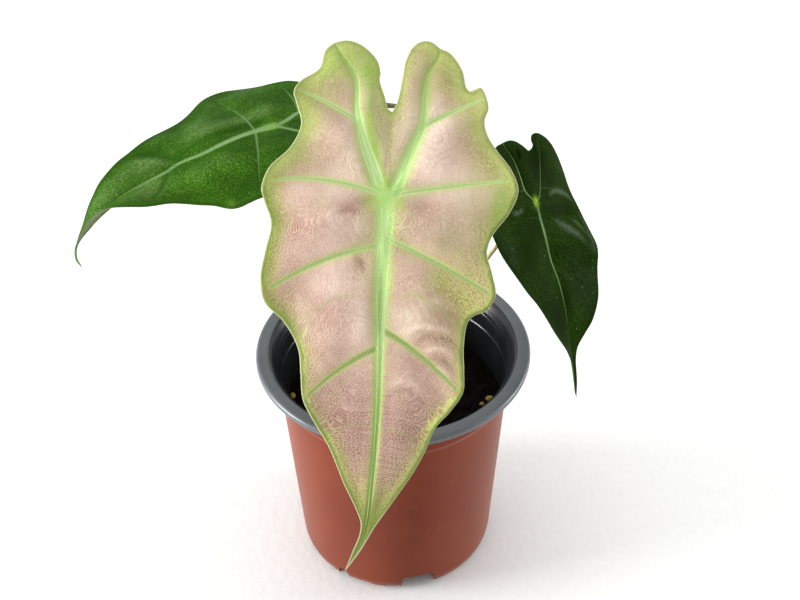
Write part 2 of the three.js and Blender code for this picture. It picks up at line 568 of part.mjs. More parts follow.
// A round stalk swept along its path, closed at both ends; "extra" widens it for its hole.
function stalk(petiole, leaf, extra = 0) {
  const rings = PETIOLE_RINGS;
  const place = placer(leaf);
  const under = SHEET + MIDRIB_HEIGHT + SEAT;
  const points = petiole.path.map((p) => new THREE.Vector3(...p));
  points.push(place(0, 0, -under - 5), place(0, 0, -under - 2), place(0, 0, -under));
  const curve = new THREE.CatmullRomCurve3(points);
  const frames = curve.computeFrenetFrames(rings, false);
  const position = [];
  const index = [];
  for (let i = 0; i <= rings; i++) {
    const centre = curve.getPointAt(i / rings);
    const rise = (centre.z - PETIOLE_FOOT_Z) / (leaf.seat[2] - PETIOLE_FOOT_Z);
    const radius = extra + petiole.topRadius + (FOOT_RADIUS - petiole.topRadius) * Math.max(0, 1 - rise * 1.25) ** 2;
    for (let k = 0; k < PETIOLE_SIDES; k++) {
      const a = (k / PETIOLE_SIDES) * 2 * Math.PI;
      const p = centre
        .clone()
        .addScaledVector(frames.normals[i], radius * Math.cos(a))
        .addScaledVector(frames.binormals[i], radius * Math.sin(a));
      position.push(p.x, p.y, p.z);
    }
  }
  const at = (i, k) => i * PETIOLE_SIDES + (k % PETIOLE_SIDES);
  for (let i = 0; i < rings; i++)
    for (let k = 0; k < PETIOLE_SIDES; k++)
      index.push(at(i, k), at(i, k + 1), at(i + 1, k), at(i, k + 1), at(i + 1, k + 1), at(i + 1, k));
  for (let k = 1; k + 1 < PETIOLE_SIDES; k++) {
    index.push(at(0, 0), at(0, k + 1), at(0, k));
    index.push(at(rings, 0), at(rings, k), at(rings, k + 1));
  }
  return new THREE.BufferGeometry()
    .setAttribute("position", new THREE.Float32BufferAttribute(position, 3))
    .setIndex(index);
}

const stalks = [
  ["front_petiole", FRONT_PETIOLE, FRONT_LEAF],
  ["left_petiole", LEFT_PETIOLE, LEFT_LEAF],
  ["right_petiole", RIGHT_PETIOLE, RIGHT_LEAF],
];
let mix = soil();
for (const [name, petiole, leaf] of stalks) {
  const geometry = stalk(petiole, leaf);
  add(name, geometry, COLOURS.stalk);
  // A plain round hole in the mix: the stalk's own sweep a little larger, and its end.
  const foot = petiole.path[0];
  const hole = solid(stalk(petiole, leaf, HOLE_GAP)).add(
    solid(new THREE.CylinderGeometry(FOOT_RADIUS + HOLE_GAP, FOOT_RADIUS + HOLE_GAP, 2, PETIOLE_SIDES).rotateX(Math.PI / 2).translate(foot[0], foot[1], PETIOLE_FOOT_Z)),
  );
  mix = mix.subtract(hole);
}
add("soil", geometryOf(mix), COLOURS.mix);
add("pot", pot(), COLOURS.terracotta);
add("front_leaf", blade(FRONT_LEAF), COLOURS.pinkBlade);
add("left_leaf", blade(LEFT_LEAF), COLOURS.greenBlade);
add("right_leaf", blade(RIGHT_LEAF), COLOURS.darkBlade);
for (const { name, at, radii, turn } of GRANULES) {
  const grain = new THREE.SphereGeometry(1, 10, 7)
    .scale(...radii)
    .rotateZ(THREE.MathUtils.degToRad(turn))
    .translate(at[0], at[1], soilHeight(at[0], at[1]) + radii[2] + SEAT);
  add(name, grain, COLOURS.granule);
}

const middle = new THREE.Box3().setFromObject(root).getCenter(new THREE.Vector3());
plant.position.set(-middle.x, -middle.y, 0);

export default root;
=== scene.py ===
"""A young arrow-leaved aroid with three leaves, in a small two-tone nursery pot.

Lengths are written in millimetres and become metres in the meshes.  Places are measured from the
foot of the pot's axis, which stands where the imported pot's does.  +Z is up and -Y is the front, the
side that the large pink leaf hangs over.  On a leaf, x runs across from the midrib and s along it,
from the seat on the stalk to the tip.
"""

import math

import bpy
import numpy as np
from mathutils import Matrix, Vector
from mathutils.geometry import tessellate_polygon


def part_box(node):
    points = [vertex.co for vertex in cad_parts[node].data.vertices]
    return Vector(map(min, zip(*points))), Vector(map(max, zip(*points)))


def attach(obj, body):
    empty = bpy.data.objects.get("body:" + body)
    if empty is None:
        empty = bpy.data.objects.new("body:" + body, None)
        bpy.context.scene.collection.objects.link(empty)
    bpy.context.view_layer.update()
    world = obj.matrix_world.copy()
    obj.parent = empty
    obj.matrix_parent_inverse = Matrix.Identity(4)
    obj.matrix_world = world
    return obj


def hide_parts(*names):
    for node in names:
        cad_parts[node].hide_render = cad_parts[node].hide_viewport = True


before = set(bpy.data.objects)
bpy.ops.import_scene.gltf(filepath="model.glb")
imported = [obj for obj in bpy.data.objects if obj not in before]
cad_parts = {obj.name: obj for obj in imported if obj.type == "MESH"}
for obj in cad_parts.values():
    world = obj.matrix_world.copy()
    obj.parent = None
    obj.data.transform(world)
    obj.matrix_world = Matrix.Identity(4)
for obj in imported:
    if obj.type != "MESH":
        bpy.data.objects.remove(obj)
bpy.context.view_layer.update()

MM = 0.001
pot_low, pot_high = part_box("pot")
AXIS = np.array([(pot_low.x + pot_high.x) / 2, (pot_low.y + pot_high.y) / 2, 0.0])


# Camera and table.  The plant stands on a plain white table and is seen from the front, from 39
# degrees above, with a long lens.  The light is soft daylight: a bright overcast room, a large
# window to the left, and a weaker one to the right.
CAMERA_PLACE = (3.4, -462.4, 514.3)
CAMERA_DOWN_DEG = 39.16
CAMERA_ROLL_DEG = -1.0
LENS_MM = 63.0
SENSOR_MM = 36.0
ROOM_LIGHT = 0.73
LAMPS = {
    "ceiling": {"place": (-200, 250, 1500), "aim": (0, 0, 100), "size": 1700, "watts": 9.8},
    "left_panel": {"place": (-1300, -160, 270), "aim": (0, 0, 80), "size": 520, "watts": 28},
    "right_panel": {"place": (1300, 200, 270), "aim": (0, 0, 80), "size": 500, "watts": 12},
}
TABLE_SIZE = 6000.0
PLASTER_GRAIN_PER_M = 260.0


def set_property(thing, **values):
    """Sets several properties of one thing."""
    for key, value in values.items():
        setattr(thing, key, value)
    return thing


def srgb(red, green, blue):
    """The linear colour of a screen colour given from 0 to 255."""
    share = np.array([red, green, blue]) / 255
    linear = np.where(share <= 0.04045, share / 12.92, ((share + 0.055) / 1.055) ** 2.4)
    return (*linear.tolist(), 1.0)


def add_node(tree, kind, values=None, **settings):
    """One node: settings are its properties; values are its inputs, each a number, colour or field."""
    made = set_property(tree.nodes.new("ShaderNode" + kind), **settings)
    for key, value in (values or {}).items():
        if isinstance(value, Field):
            tree.links.new(value.socket, made.inputs[key])
        else:
            made.inputs[key].default_value = value
    return made


class Field:
    """A number, colour or place that shader nodes work out over a surface.  A sign or a call such as
    rise adds one node to its tree and gives the field that comes out of it."""

    def __init__(self, tree, socket):
        self.tree = tree
        self.socket = socket

    def node(self, kind, values, output=0, **settings):
        """What comes out of any other node."""
        return Field(self.tree, add_node(self.tree, kind, values, **settings).outputs[output])

    def step(self, operation, other=0.0):
        """One step of arithmetic, alone or with another number."""
        return self.node("Math", {0: self, 1: other}, operation=operation)

    def __add__(self, other):
        return self.step("ADD", other)

    def __sub__(self, other):
        return self.step("SUBTRACT", other)

    def __mul__(self, other):
        return self.step("MULTIPLY", other)

    def most(self, other):
        """The larger of two numbers."""
        return self.step("MAXIMUM", other)

    def rise(self, start, end, low=0.0, high=1.0):
        """A smooth step: low before start, high after end (start may be the larger)."""
        values = {"Value": self, "From Min": start, "From Max": end, "To Min": low, "To Max": high}
        return self.node("MapRange", values, interpolation_type="SMOOTHSTEP")

    def noise(self, scale, detail=3.0, roughness=0.55):
        """Cloudy noise from 0 to 1 at this place."""
        values = {"Vector": self, "Scale": scale, "Detail": detail, "Roughness": roughness}
        return self.node("TexNoise", values)

    def parts(self):
        """The three numbers of a place or colour."""
        made = add_node(self.tree, "SeparateXYZ", {0: self})
        return [Field(self.tree, made.outputs[k]) for k in range(3)]

    def blend(self, first, second):
        """Two colours mixed by this share."""
        return self.node("Mix", {"Factor": self, 6: first, 7: second}, 2, data_type="RGBA")

    def beside(self, other):
        """A flat place made of this number and another."""
        return self.node("CombineXYZ", {0: self, 1: other})

    def feed(self, target):
        """Links this field to an input of a node or group."""
        self.tree.links.new(self.socket, target)


def object_place(tree):
    """The place on the piece, in metres."""
    return Field(tree, add_node(tree, "TexCoord").outputs["Object"])


def new_material(name, roughness, **shader_values):
    """A material with its Principled shader; returns it, its tree and the shader."""
    made = bpy.data.materials.new(name)
    made.use_nodes = True
    shader = made.node_tree.nodes["Principled BSDF"]
    shader.inputs["Roughness"].default_value = roughness
    for key, value in shader_values.items():
        shader.inputs[key.replace("_", " ")].default_value = value
    return made, made.node_tree, shader


def bump(shader, height, distance_mm, strength=1.0):
    """Feeds a height into the shader's normal, standing distance_mm high."""
    values = {"Height": height, "Distance": distance_mm * MM, "Strength": strength}
    height.node("Bump", values).feed(shader.inputs["Normal"])


def new_piece(name, points_mm, faces, materials, face_materials=None, smooth=True):
    """A mesh object from points in millimetres about the pot's axis, and lists of their numbers."""
    mesh = bpy.data.meshes.new(name)
    faces = faces.tolist() if isinstance(faces, np.ndarray) else faces
    mesh.from_pydata((np.asarray(points_mm) * MM + AXIS).tolist(), [], faces)
    for each in materials:
        mesh.materials.append(each)
    if face_materials is not None:
        mesh.polygons.foreach_set("material_index", np.asarray(face_materials, np.int32))
    mesh.polygons.foreach_set("use_smooth", np.broadcast_to(smooth, len(mesh.polygons)).copy())
    mesh.update()
    made = bpy.data.objects.new(name, mesh)
    bpy.context.scene.collection.objects.link(made)
    return made


camera_data = set_property(bpy.data.cameras.new("camera"), lens=LENS_MM, sensor_width=SENSOR_MM)
camera = bpy.data.objects.new("camera", camera_data)
camera.location = Vector(CAMERA_PLACE) * MM + Vector(AXIS)
looking = Matrix.Rotation(math.radians(90 - CAMERA_DOWN_DEG), 3, "X")
rolled = looking @ Matrix.Rotation(math.radians(CAMERA_ROLL_DEG), 3, "Z")
camera.rotation_euler = rolled.to_euler()
bpy.context.scene.collection.objects.link(camera)
bpy.context.scene.camera = camera
bpy.context.scene.view_settings.view_transform = "Standard"

room = bpy.data.worlds.new("room")
room.use_nodes = True
room_light = room.node_tree.nodes["Background"]
room_light.inputs["Strength"].default_value = ROOM_LIGHT
room_light.inputs["Color"].default_value = (1.0, 1.0, 1.0, 1.0)
bpy.context.scene.world = room
for name, lamp in LAMPS.items():
    panel = bpy.data.lights.new(name, "AREA")
    set_property(panel, energy=lamp["watts"], size=lamp["size"] * MM)
    hung = bpy.data.objects.new(name, panel)
    hung.location = Vector(lamp["place"]) * MM + Vector(AXIS)
    towards = Vector(lamp["aim"]) - Vector(lamp["place"])
    hung.rotation_euler = towards.to_track_quat("-Z", "Y").to_euler()
    bpy.context.scene.collection.objects.link(hung)

table_white, tree, shader = new_material("table_white", 0.7)
speckle = object_place(tree).noise(PLASTER_GRAIN_PER_M, 4.0)
speckle.blend(srgb(234, 235, 234), srgb(243, 244, 243)).feed(shader.inputs["Base Color"])
bump(shader, speckle, 0.25, 0.6)
corners = TABLE_SIZE / 2 * np.array([(-1, -1, 0), (1, -1, 0), (1, 1, 0), (-1, 1, 0)])
table = new_piece("table", corners, [[0, 1, 2, 3]], [table_white], smooth=False)


# Pot.  One sheet of plastic formed into a cup: terracotta outside, dark grey inside, over the rim
# and down its turned-down skirt.  It stands on a hollow foot ring with cuts for the water, and six
# holes go through its raised base.
POT_HEIGHT = 112.0
RIM_RADIUS = 60.0
RIM_INNER_RADIUS = 54.8
ROLL_RADIUS = 54.4
SKIRT_BOTTOM = 108.6
SKIRT_TOP_INSIDE = (RIM_RADIUS - 1.7, POT_HEIGHT - 1.1)
WALL = 0.9
WALL_RADII = (44.6, 51.4)
WALL_HEIGHTS = (6.0, 107.0)
BASE_UNDERSIDE = 10.0
BASE_RADIUS = 33.0
FOOT_RADII = (36.6, 41.2)
FOOT_CUTS = [(12.5, 20, 9.6), (26, 7, 2.6), (-34.5, 7, 7.2), (-23.5, 15, 2.4), (53, 13, 2.4)]
FOOT_REPEATS = 3
CUT_EDGE_DEG = 2.4
CHIP_HEIGHT = 3.6
CHIP_SPACING_DEG = 360 / 64
COLUMN_STEP_DEG = 2.0
DRAINS = 6
DRAIN_RADIUS = 3.5
DRAIN_CIRCLE = 26.0
DRAIN_SIDES = 24


def wall_radius(height):
    """Radius of the wall's outer face, which widens evenly upwards."""
    low, high = WALL_HEIGHTS
    return WALL_RADII[0] + (WALL_RADII[1] - WALL_RADII[0]) * (height - low) / (high - low)


def wall_point(height, out=0.0, lift=0.0):
    """A point of the pot's profile that lies out from the wall's outer face, moved up by lift."""
    return (wall_radius(height) + out, height + lift)


def rounded(profile, radius, steps=5):
    """A profile with each inner corner replaced by a short curve: the quadratic through the points
    that lie radius before and after the corner, or nearly halfway along a shorter side."""
    p = np.array(profile, float)
    before = p[:-2] - p[1:-1]
    after = p[2:] - p[1:-1]
    reach = [np.minimum(radius, 0.45 * np.linalg.norm(v, axis=1))[:, None] for v in (before, after)]
    start = p[1:-1] + before / np.linalg.norm(before, axis=1)[:, None] * reach[0]
    end = p[1:-1] + after / np.linalg.norm(after, axis=1)[:, None] * reach[1]
    t = np.linspace(0, 1, steps)[None, :, None]
    curves = (1 - t) ** 2 * start[:, None] + 2 * t * (1 - t) * p[1:-1, None] + t**2 * end[:, None]
    return np.vstack([p[:1], curves.reshape(-1, 2), p[-1:]])


def lattice_noise(x, y, cell, seed):
    """Smooth noise from -1 to 1: seeded random heights on a square lattice, eased between them.
    It repeats after 64 cells."""
    heights = np.random.default_rng(seed).uniform(-1, 1, (64, 64))
    u, v = x / cell, y / cell
    i, j = np.floor(u).astype(int), np.floor(v).astype(int)
    a, b = u - i, v - j
    a, b = a * a * (3 - 2 * a), b * b * (3 - 2 * b)
    corner = [heights[(i + di) % 64, (j + dj) % 64] for di in (0, 1) for dj in (0, 1)]
    return (corner[0] * (1 - b) + corner[1] * b) * (1 - a) + (corner[2] * (1 - b) + corner[3] * b) * a


def every_cut():
    """Middle, width and height of each cut all the way round the foot."""
    repeats = np.arange(FOOT_REPEATS) * 360 / FOOT_REPEATS
    return [(centre + turn, width, cut) for turn in repeats for centre, width, cut in FOOT_CUTS]


def foot_cut_height(degrees):
    """How high the foot ring is cut away at each angle right of the front: the highest cut there,
    each rising within a short edge, or a low chip in the worn edge, where seeded noise is high."""
    chips = lattice_noise(degrees, np.zeros_like(degrees), CHIP_SPACING_DEG, 21)
    height = CHIP_HEIGHT * np.clip(3 * chips - 0.3, 0, 1)
    for centre, width, cut in every_cut():
        off = (degrees - centre + 180) % 360 - 180
        share = np.clip((width / 2 + CUT_EDGE_DEG / 2 - np.abs(off)) / CUT_EDGE_DEG, 0, 1)
        height = np.maximum(height, cut * share**2 * (3 - 2 * share))
    return height


def round_axis(radius, angle, height):
    """Points at a radius, an angle and a height about the axis, for every pairing of the arrays."""
    parts = (radius * np.cos(angle), radius * np.sin(angle), height)
    return np.stack(np.broadcast_arrays(*parts), -1)


def ring_faces(rings, columns):
    """Quads between rings of points that close on themselves, ring after ring."""
    k = np.arange(columns)
    n = (k + 1) % columns
    rows = np.arange(rings - 1)[:, None] * columns
    return np.stack([rows + k, rows + n, rows + columns + n, rows + columns + k], -1).reshape(-1, 4)


def closed_rings(rings, columns):
    """Faces of a closed body: the quads between its rings, then its first and its last ring."""
    first = np.arange(columns)
    last = first + (rings - 1) * columns
    return [*ring_faces(rings, columns).tolist(), first[::-1].tolist(), last.tolist()]


outside = rounded([
    (BASE_RADIUS, BASE_UNDERSIDE), (FOOT_RADII[0] - 1.6, BASE_UNDERSIDE), (FOOT_RADII[0], 0),
    (FOOT_RADII[1], 0), (FOOT_RADII[1] + 1.5, 1), (FOOT_RADII[1] + 2.6, 3), wall_point(6),
    wall_point(7.6), wall_point(10), wall_point(20), wall_point(60), wall_point(94.4),
    wall_point(95, 0.12), wall_point(96, 0.55, 0.4), wall_point(97, 0.5, 0.4), wall_point(107, 0.3),
    (52.6, 109.3), (54.3, POT_HEIGHT - 1.2), SKIRT_TOP_INSIDE,
], 0.9)
lip = rounded([
    SKIRT_TOP_INSIDE, (RIM_RADIUS - 1.2, SKIRT_BOTTOM + 0.4), (RIM_RADIUS - 0.6, SKIRT_BOTTOM),
    (RIM_RADIUS, SKIRT_BOTTOM + 0.5), (RIM_RADIUS, POT_HEIGHT - 1), (RIM_RADIUS - 0.9, POT_HEIGHT),
    (RIM_INNER_RADIUS, POT_HEIGHT - 0.05), (ROLL_RADIUS, POT_HEIGHT - 0.25),
], 0.7)
inside = rounded([
    (ROLL_RADIUS, POT_HEIGHT - 0.25), (53.4, POT_HEIGHT - 0.9), (52, POT_HEIGHT - 2.8),
    wall_point(107, 0.5 - WALL, 0.2), wall_point(106, -WALL, 0.2), wall_point(105, 0.4 - WALL, 0.2),
    wall_point(104, -0.15 - WALL, 0.2), wall_point(98, -WALL, 0.4), wall_point(97.4, 0.4 - WALL),
    wall_point(96.7, -0.25 - WALL, -0.1), wall_point(90, -WALL), wall_point(40, -WALL),
    wall_point(6, -WALL), (FOOT_RADII[1] + 1.7, 3.2), (FOOT_RADII[1] - 0.3, WALL),
    (FOOT_RADII[0] + WALL, WALL), (FOOT_RADII[0] - 1.6 + WALL, BASE_UNDERSIDE + WALL),
    (BASE_RADIUS, BASE_UNDERSIDE + WALL),
], 0.6)
cut_edges = [
    centre + side * (width / 2 + step)
    for centre, width, cut in every_cut()
    for side in (-1, 1)
    for step in np.linspace(-CUT_EDGE_DEG / 2, CUT_EDGE_DEG / 2, 5)
]
even = np.arange(0, 360, COLUMN_STEP_DEG)
degrees = np.unique(np.round(np.concatenate([even, np.array(cut_edges) % 360]), 3))
profile = np.vstack([outside, lip[1:], inside[1:]])
lip_start, inside_start = len(outside) - 1, len(outside) + len(lip) - 2
is_inner = np.arange(len(profile)) > inside_start
angle = np.radians(degrees - 90)
cut_height = foot_cut_height(degrees)[None, :]
cut = cut_height + WALL * is_inner[:, None] * (cut_height > 0)
low_part = (profile[:, 0] > FOOT_RADII[0] - 2)[:, None]
height = np.where(low_part, np.maximum(profile[:, 1:], cut), profile[:, 1:])
points = round_axis(profile[:, :1], angle, height)
columns = len(degrees)
shell_faces = ring_faces(len(profile), columns)

# The base is closed by two plates with the drain holes left out of them, joined by the holes' walls.
drain_at = np.radians((np.arange(DRAINS) + 0.5) * 360 / DRAINS)[:, None]
drain_turn = np.linspace(0, 2 * math.pi, DRAIN_SIDES, endpoint=False)
drain_x = DRAIN_CIRCLE * np.cos(drain_at) + DRAIN_RADIUS * np.cos(drain_turn)
drain_y = DRAIN_CIRCLE * np.sin(drain_at) + DRAIN_RADIUS * np.sin(drain_turn)
drain_first = len(profile) * columns
drain_count = DRAINS * DRAIN_SIDES
plates = []
for level, ring in enumerate((0, len(profile) - 1)):
    outline = [Vector(point) for point in points[ring].tolist()]
    z = np.full(DRAIN_SIDES, BASE_UNDERSIDE + WALL * level)
    holes = [[Vector(point) for point in zip(x, y, z)] for x, y in zip(drain_x, drain_y)]
    numbers = np.concatenate([
        np.arange(columns) + ring * columns,
        np.arange(drain_count) + drain_first + level * drain_count,
    ])
    triangles = np.array(tessellate_polygon([outline, *holes]))
    flat = np.array([point[:2] for loop in (outline, *holes) for point in loop])
    a, b, c = (flat[triangles[:, k]] for k in range(3))
    up = (b[:, 0] - a[:, 0]) * (c[:, 1] - a[:, 1]) > (b[:, 1] - a[:, 1]) * (c[:, 0] - a[:, 0])
    triangles = np.where((up == bool(level))[:, None], triangles, triangles[:, ::-1])
    plates.append(numbers[triangles])
k = np.arange(drain_count)
n = np.where(k % DRAIN_SIDES == DRAIN_SIDES - 1, k - DRAIN_SIDES + 1, k + 1)
drain_walls = np.stack([n, k, k + drain_count, n + drain_count], -1) + drain_first
drain_points = [
    np.stack([drain_x, drain_y, np.full_like(drain_x, z)], -1).reshape(-1, 3)
    for z in (BASE_UNDERSIDE, BASE_UNDERSIDE + WALL)
]
OUTSIDE, LIP, INSIDE = range(3)
face_ring = np.repeat(np.arange(len(profile) - 1), columns)
part_of_pot = np.where(face_ring < lip_start, OUTSIDE, np.where(face_ring < inside_start, LIP, INSIDE))
part_of_pot = np.concatenate([
    part_of_pot, [OUTSIDE] * len(plates[0]), [INSIDE] * len(plates[1]), [OUTSIDE] * len(drain_walls),
])
smooth = np.arange(len(part_of_pot)) < len(shell_faces)
pot_faces = shell_faces.tolist() + plates[0].tolist() + plates[1].tolist() + drain_walls.tolist()
pot_points = np.vstack([points.reshape(-1, 3), *drain_points])


def group_outputs(tree, results):
    """Gives a node group one output for each named field."""
    for name in results:
        tree.interface.new_socket(name, in_out="OUTPUT", socket_type="NodeSocketFloat")
    inputs = tree.nodes.new("NodeGroupOutput").inputs
    for name, value in results.items():
        value.feed(inputs[name])


def placed_group(tree, group, **values):
    """A node group placed in a material, with its inputs set: returns its outputs by name."""
    made = tree.nodes.new("ShaderNodeGroup")
    made.node_tree = group
    for key, value in values.items():
        made.inputs[key].default_value = value
    return {socket.name: Field(tree, socket) for socket in made.outputs}


# Grain, clouds and scuffs that the plastic, the mix and the granules share.
fine_grain = bpy.data.node_groups.new("fine_grain", "ShaderNodeTree")
for name, default in (("Scale", 900.0), ("Clouds", 20.0)):
    socket = fine_grain.interface.new_socket(name, in_out="INPUT", socket_type="NodeSocketFloat")
    socket.default_value = default
given = fine_grain.nodes.new("NodeGroupInput").outputs
place = object_place(fine_grain)
stretched = place.node("Mapping", {"Vector": place, "Scale": (70.0, 70.0, 900.0)})
group_outputs(fine_grain, {
    "Grain": place.noise(Field(fine_grain, given["Scale"]), 2.0),
    "Cloud": place.noise(Field(fine_grain, given["Clouds"]), 4.0, 0.6),
    "Scuffs": stretched.noise(1.0, 5.0, 0.7).rise(0.62, 0.8),
})

PLASTIC = {"Scale": 1400.0, "Clouds": 26.0}
SHEEN = {"Sheen_Weight": 0.18, "Sheen_Tint": (1.0, 0.72, 0.58, 1.0)}
terracotta, tree, shader = new_material("terracotta_plastic", 0.36, Specular_IOR_Level=0.08, **SHEEN)
grain, cloud, scuffs = placed_group(tree, fine_grain, **PLASTIC).values()
tone = cloud.rise(0.3, 0.7).blend(srgb(102, 33, 9), srgb(113, 41, 14))
(scuffs * 0.25).blend(tone, srgb(186, 118, 98)).feed(shader.inputs["Base Color"])
(cloud * 0.12 + 0.32).feed(shader.inputs["Roughness"])
bump(shader, grain, 0.03)

# The lip and the inside are one grey sheet; the inside's copy is darker than the lip's: painted shade
# inside the cup.
greys = []
for name, dark, pale, roughness in (
    ("lip_grey", (83, 88, 92), (98, 103, 106), 0.34),
    ("inner_grey_painted_shade", (31, 32, 34), (42, 44, 47), 0.25),
):
    grey, tree, shader = new_material(name, roughness, Specular_IOR_Level=0.45)
    greys.append(grey)
    place = object_place(tree)
    grain, cloud, scuffs = placed_group(tree, fine_grain, **PLASTIC).values()
    tone = cloud.rise(0.3, 0.7).blend(srgb(*dark), srgb(*pale))
    tone = (scuffs * 0.3).blend(tone, srgb(128, 132, 134))
    x, y, z = place.node("VectorMath", {0: place, 1: tuple(-AXIS)}, operation="ADD").parts()
    radius = (x * x + y * y).step("SQRT")
    brushed = (radius * 1300.0).beside(z * 900.0).noise(1.0, 3.0, 0.6).rise(0.45, 0.75)
    tone = (brushed * 0.55).blend(tone, srgb(*[0.6 * part for part in dark]))
    tone.feed(shader.inputs["Base Color"])
    (cloud * 0.12 + (roughness - 0.06)).feed(shader.inputs["Roughness"])
    bump(shader, grain, 0.02)

pot = new_piece("pot_shell", pot_points, pot_faces, [terracotta, *greys], part_of_pot, smooth)
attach(pot, "root")
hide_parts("pot")


# Potting mix.  Dark peat with bark crumbs; it fills the cup to about 32 mm below the rim and mounds
# a little round the stalks.
SOIL_TOP = 80.0
SOIL_GAP = 0.3
SOIL_RINGS = 130
SOIL_COLUMNS = 240
CRUMBS = 420
CRUMB_SEED = 7


def soil_height(x, y):
    """Height of the mix: a low mound and slow lumps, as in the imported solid."""
    radius = np.hypot(x, y)
    mound = 2.2 * np.cos(math.pi * np.minimum(radius, 48) / 96)
    lumps = np.sin(0.31 * x + 1.3) * np.cos(0.27 * y - 0.4) + 0.6 * np.sin(0.53 * x - 0.61 * y + 2)
    return SOIL_TOP - 1.5 + mound + 0.8 * (lumps + 0.4 * np.cos(0.83 * x + 0.47 * y))


def crumbly(x, y):
    """Crumb relief in millimetres: three sizes of noise, the larger two folded into sharp creases."""
    coarse = 1 - 2 * np.abs(lattice_noise(x, y, 5.0, 11))
    middle = 1 - 2 * np.abs(lattice_noise(x, y, 2.1, 12))
    return 0.7 * coarse + 0.45 * middle + 0.2 * lattice_noise(x, y, 0.9, 13)


edge = wall_radius(SOIL_TOP - 3) - WALL - SOIL_GAP
turn = np.linspace(0, 2 * math.pi, SOIL_COLUMNS, endpoint=False)
radius = edge * np.linspace(0.004, 1, SOIL_RINGS)[:, None]
x, y = radius * np.cos(turn), radius * np.sin(turn)
top = np.stack([x, y, soil_height(x, y) + crumbly(x, y) * np.clip((edge - radius) / 2, 0, 1)], -1)
below_top = [
    (edge - 0.9, 70), (wall_radius(13) - 2.2, 13), (34.0, BASE_UNDERSIDE + 1.5),
    (0.3, BASE_UNDERSIDE + 1.3),
]
side = [round_axis(r, turn, z) for r, z in below_top]
soil_points = np.concatenate([top.reshape(-1, 3), *side])
soil_faces = closed_rings(SOIL_RINGS + len(side), SOIL_COLUMNS)

# A crumb is a twenty-sided lump, stretched, dented and turned at random.
rng = np.random.default_rng(CRUMB_SEED)
golden = (1 + 5**0.5) / 2
lump_points = np.array([
    (-1, golden, 0), (1, golden, 0), (-1, -golden, 0), (1, -golden, 0), (0, -1, golden),
    (0, 1, golden), (0, -1, -golden), (0, 1, -golden), (golden, 0, -1), (golden, 0, 1),
    (-golden, 0, -1), (-golden, 0, 1),
]) / golden
lump_faces = np.array([
    (0, 11, 5), (0, 5, 1), (0, 1, 7), (0, 7, 10), (0, 10, 11), (1, 5, 9), (5, 11, 4), (11, 10, 2),
    (10, 7, 6), (7, 1, 8), (3, 9, 4), (3, 4, 2), (3, 2, 6), (3, 6, 8), (3, 8, 9), (4, 9, 5), (2, 4, 11),
    (6, 2, 10), (8, 6, 7), (9, 8, 1),
])
spread = edge * np.sqrt(rng.uniform(0, 0.93, CRUMBS))
where = rng.uniform(0, 2 * math.pi, CRUMBS)
x, y = spread * np.cos(where), spread * np.sin(where)
sizes = rng.uniform(0.5, 1.7, (CRUMBS, 1)) * rng.uniform(0.55, 1.3, (CRUMBS, 3)) * (1, 1, 0.6)
shapes = lump_points * sizes[:, None] * rng.uniform(0.8, 1.2, (CRUMBS, 12, 1))
spin = rng.uniform(0, 2 * math.pi, CRUMBS)[:, None]
turned = np.stack([
    shapes[..., 0] * np.cos(spin) - shapes[..., 1] * np.sin(spin),
    shapes[..., 0] * np.sin(spin) + shapes[..., 1] * np.cos(spin),
    shapes[..., 2],
], -1)
crumbs = turned + np.stack([x, y, soil_height(x, y) + crumbly(x, y) + 0.1], -1)[:, None]
crumb_faces = lump_faces[None] + (np.arange(CRUMBS) * 12)[:, None, None] + len(soil_points)
mix_faces = soil_faces + crumb_faces.reshape(-1, 3).tolist()
mix_points = np.vstack([soil_points, crumbs.reshape(-1, 3)])

peat, tree, shader = new_material("peat", 0.9, Specular_IOR_Level=0.12)
grain, cloud, _ = placed_group(tree, fine_grain, Scale=2200.0, Clouds=160.0).values()
bark = object_place(tree).noise(420.0, 3.0, 0.7).rise(0.55, 0.72)
tone = cloud.blend(srgb(6, 4, 3), srgb(16, 12, 8))
(bark * 0.5).blend(tone, srgb(34, 24, 15)).feed(shader.inputs["Base Color"])
bump(shader, grain, 0.25)
smooth = np.arange(len(mix_faces)) < len(soil_faces) - 2
soil = new_piece("potting_mix", mix_points, mix_faces, [peat], smooth=smooth)
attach(soil, "root")
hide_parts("soil")


# Feed granules.  Three small grains of feed in a golden, slightly clear coat of resin, a little out
# of round; they lie loose on the mix.
GRAIN_RINGS = 20
GRAIN_COLUMNS = 32
resin, tree, shader = new_material(
    "resin_grain", 0.28, Subsurface_Weight=0.2, Subsurface_Radius=(0.002, 0.001, 0.0004)
)
grain, cloud, _ = placed_group(tree, fine_grain, Scale=900.0, Clouds=320.0).values()
cloud.rise(0.3, 0.7).blend(srgb(150, 112, 36), srgb(206, 172, 84)).feed(shader.inputs["Base Color"])
bump(shader, grain, 0.08)
around = np.linspace(0, 2 * math.pi, GRAIN_COLUMNS, endpoint=False)
tilt = np.linspace(0.02, math.pi - 0.02, GRAIN_RINGS)[:, None]
ball = round_axis(np.sin(tilt), around, np.cos(tilt))
grain_faces = [face[::-1] for face in closed_rings(GRAIN_RINGS, GRAIN_COLUMNS)]
for number, name in enumerate(("granule_left", "granule_right", "granule_right_small")):
    low, high = (np.array(corner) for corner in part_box(name))
    middle, half = ((low + high) / 2 - AXIS) / MM, (high - low) / 2 / MM
    lumps = 0.05 * np.sin(3 * ball[..., 0] + number) * np.cos(4 * ball[..., 1])
    lumps += 0.94 + 0.02 * np.sin(9 * ball[..., 2])
    grain_points = (ball * lumps[..., None] * half + middle).reshape(-1, 3)
    granule = new_piece(name + "_grain", grain_points, grain_faces, [resin])
    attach(granule, "root")
    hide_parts(name)


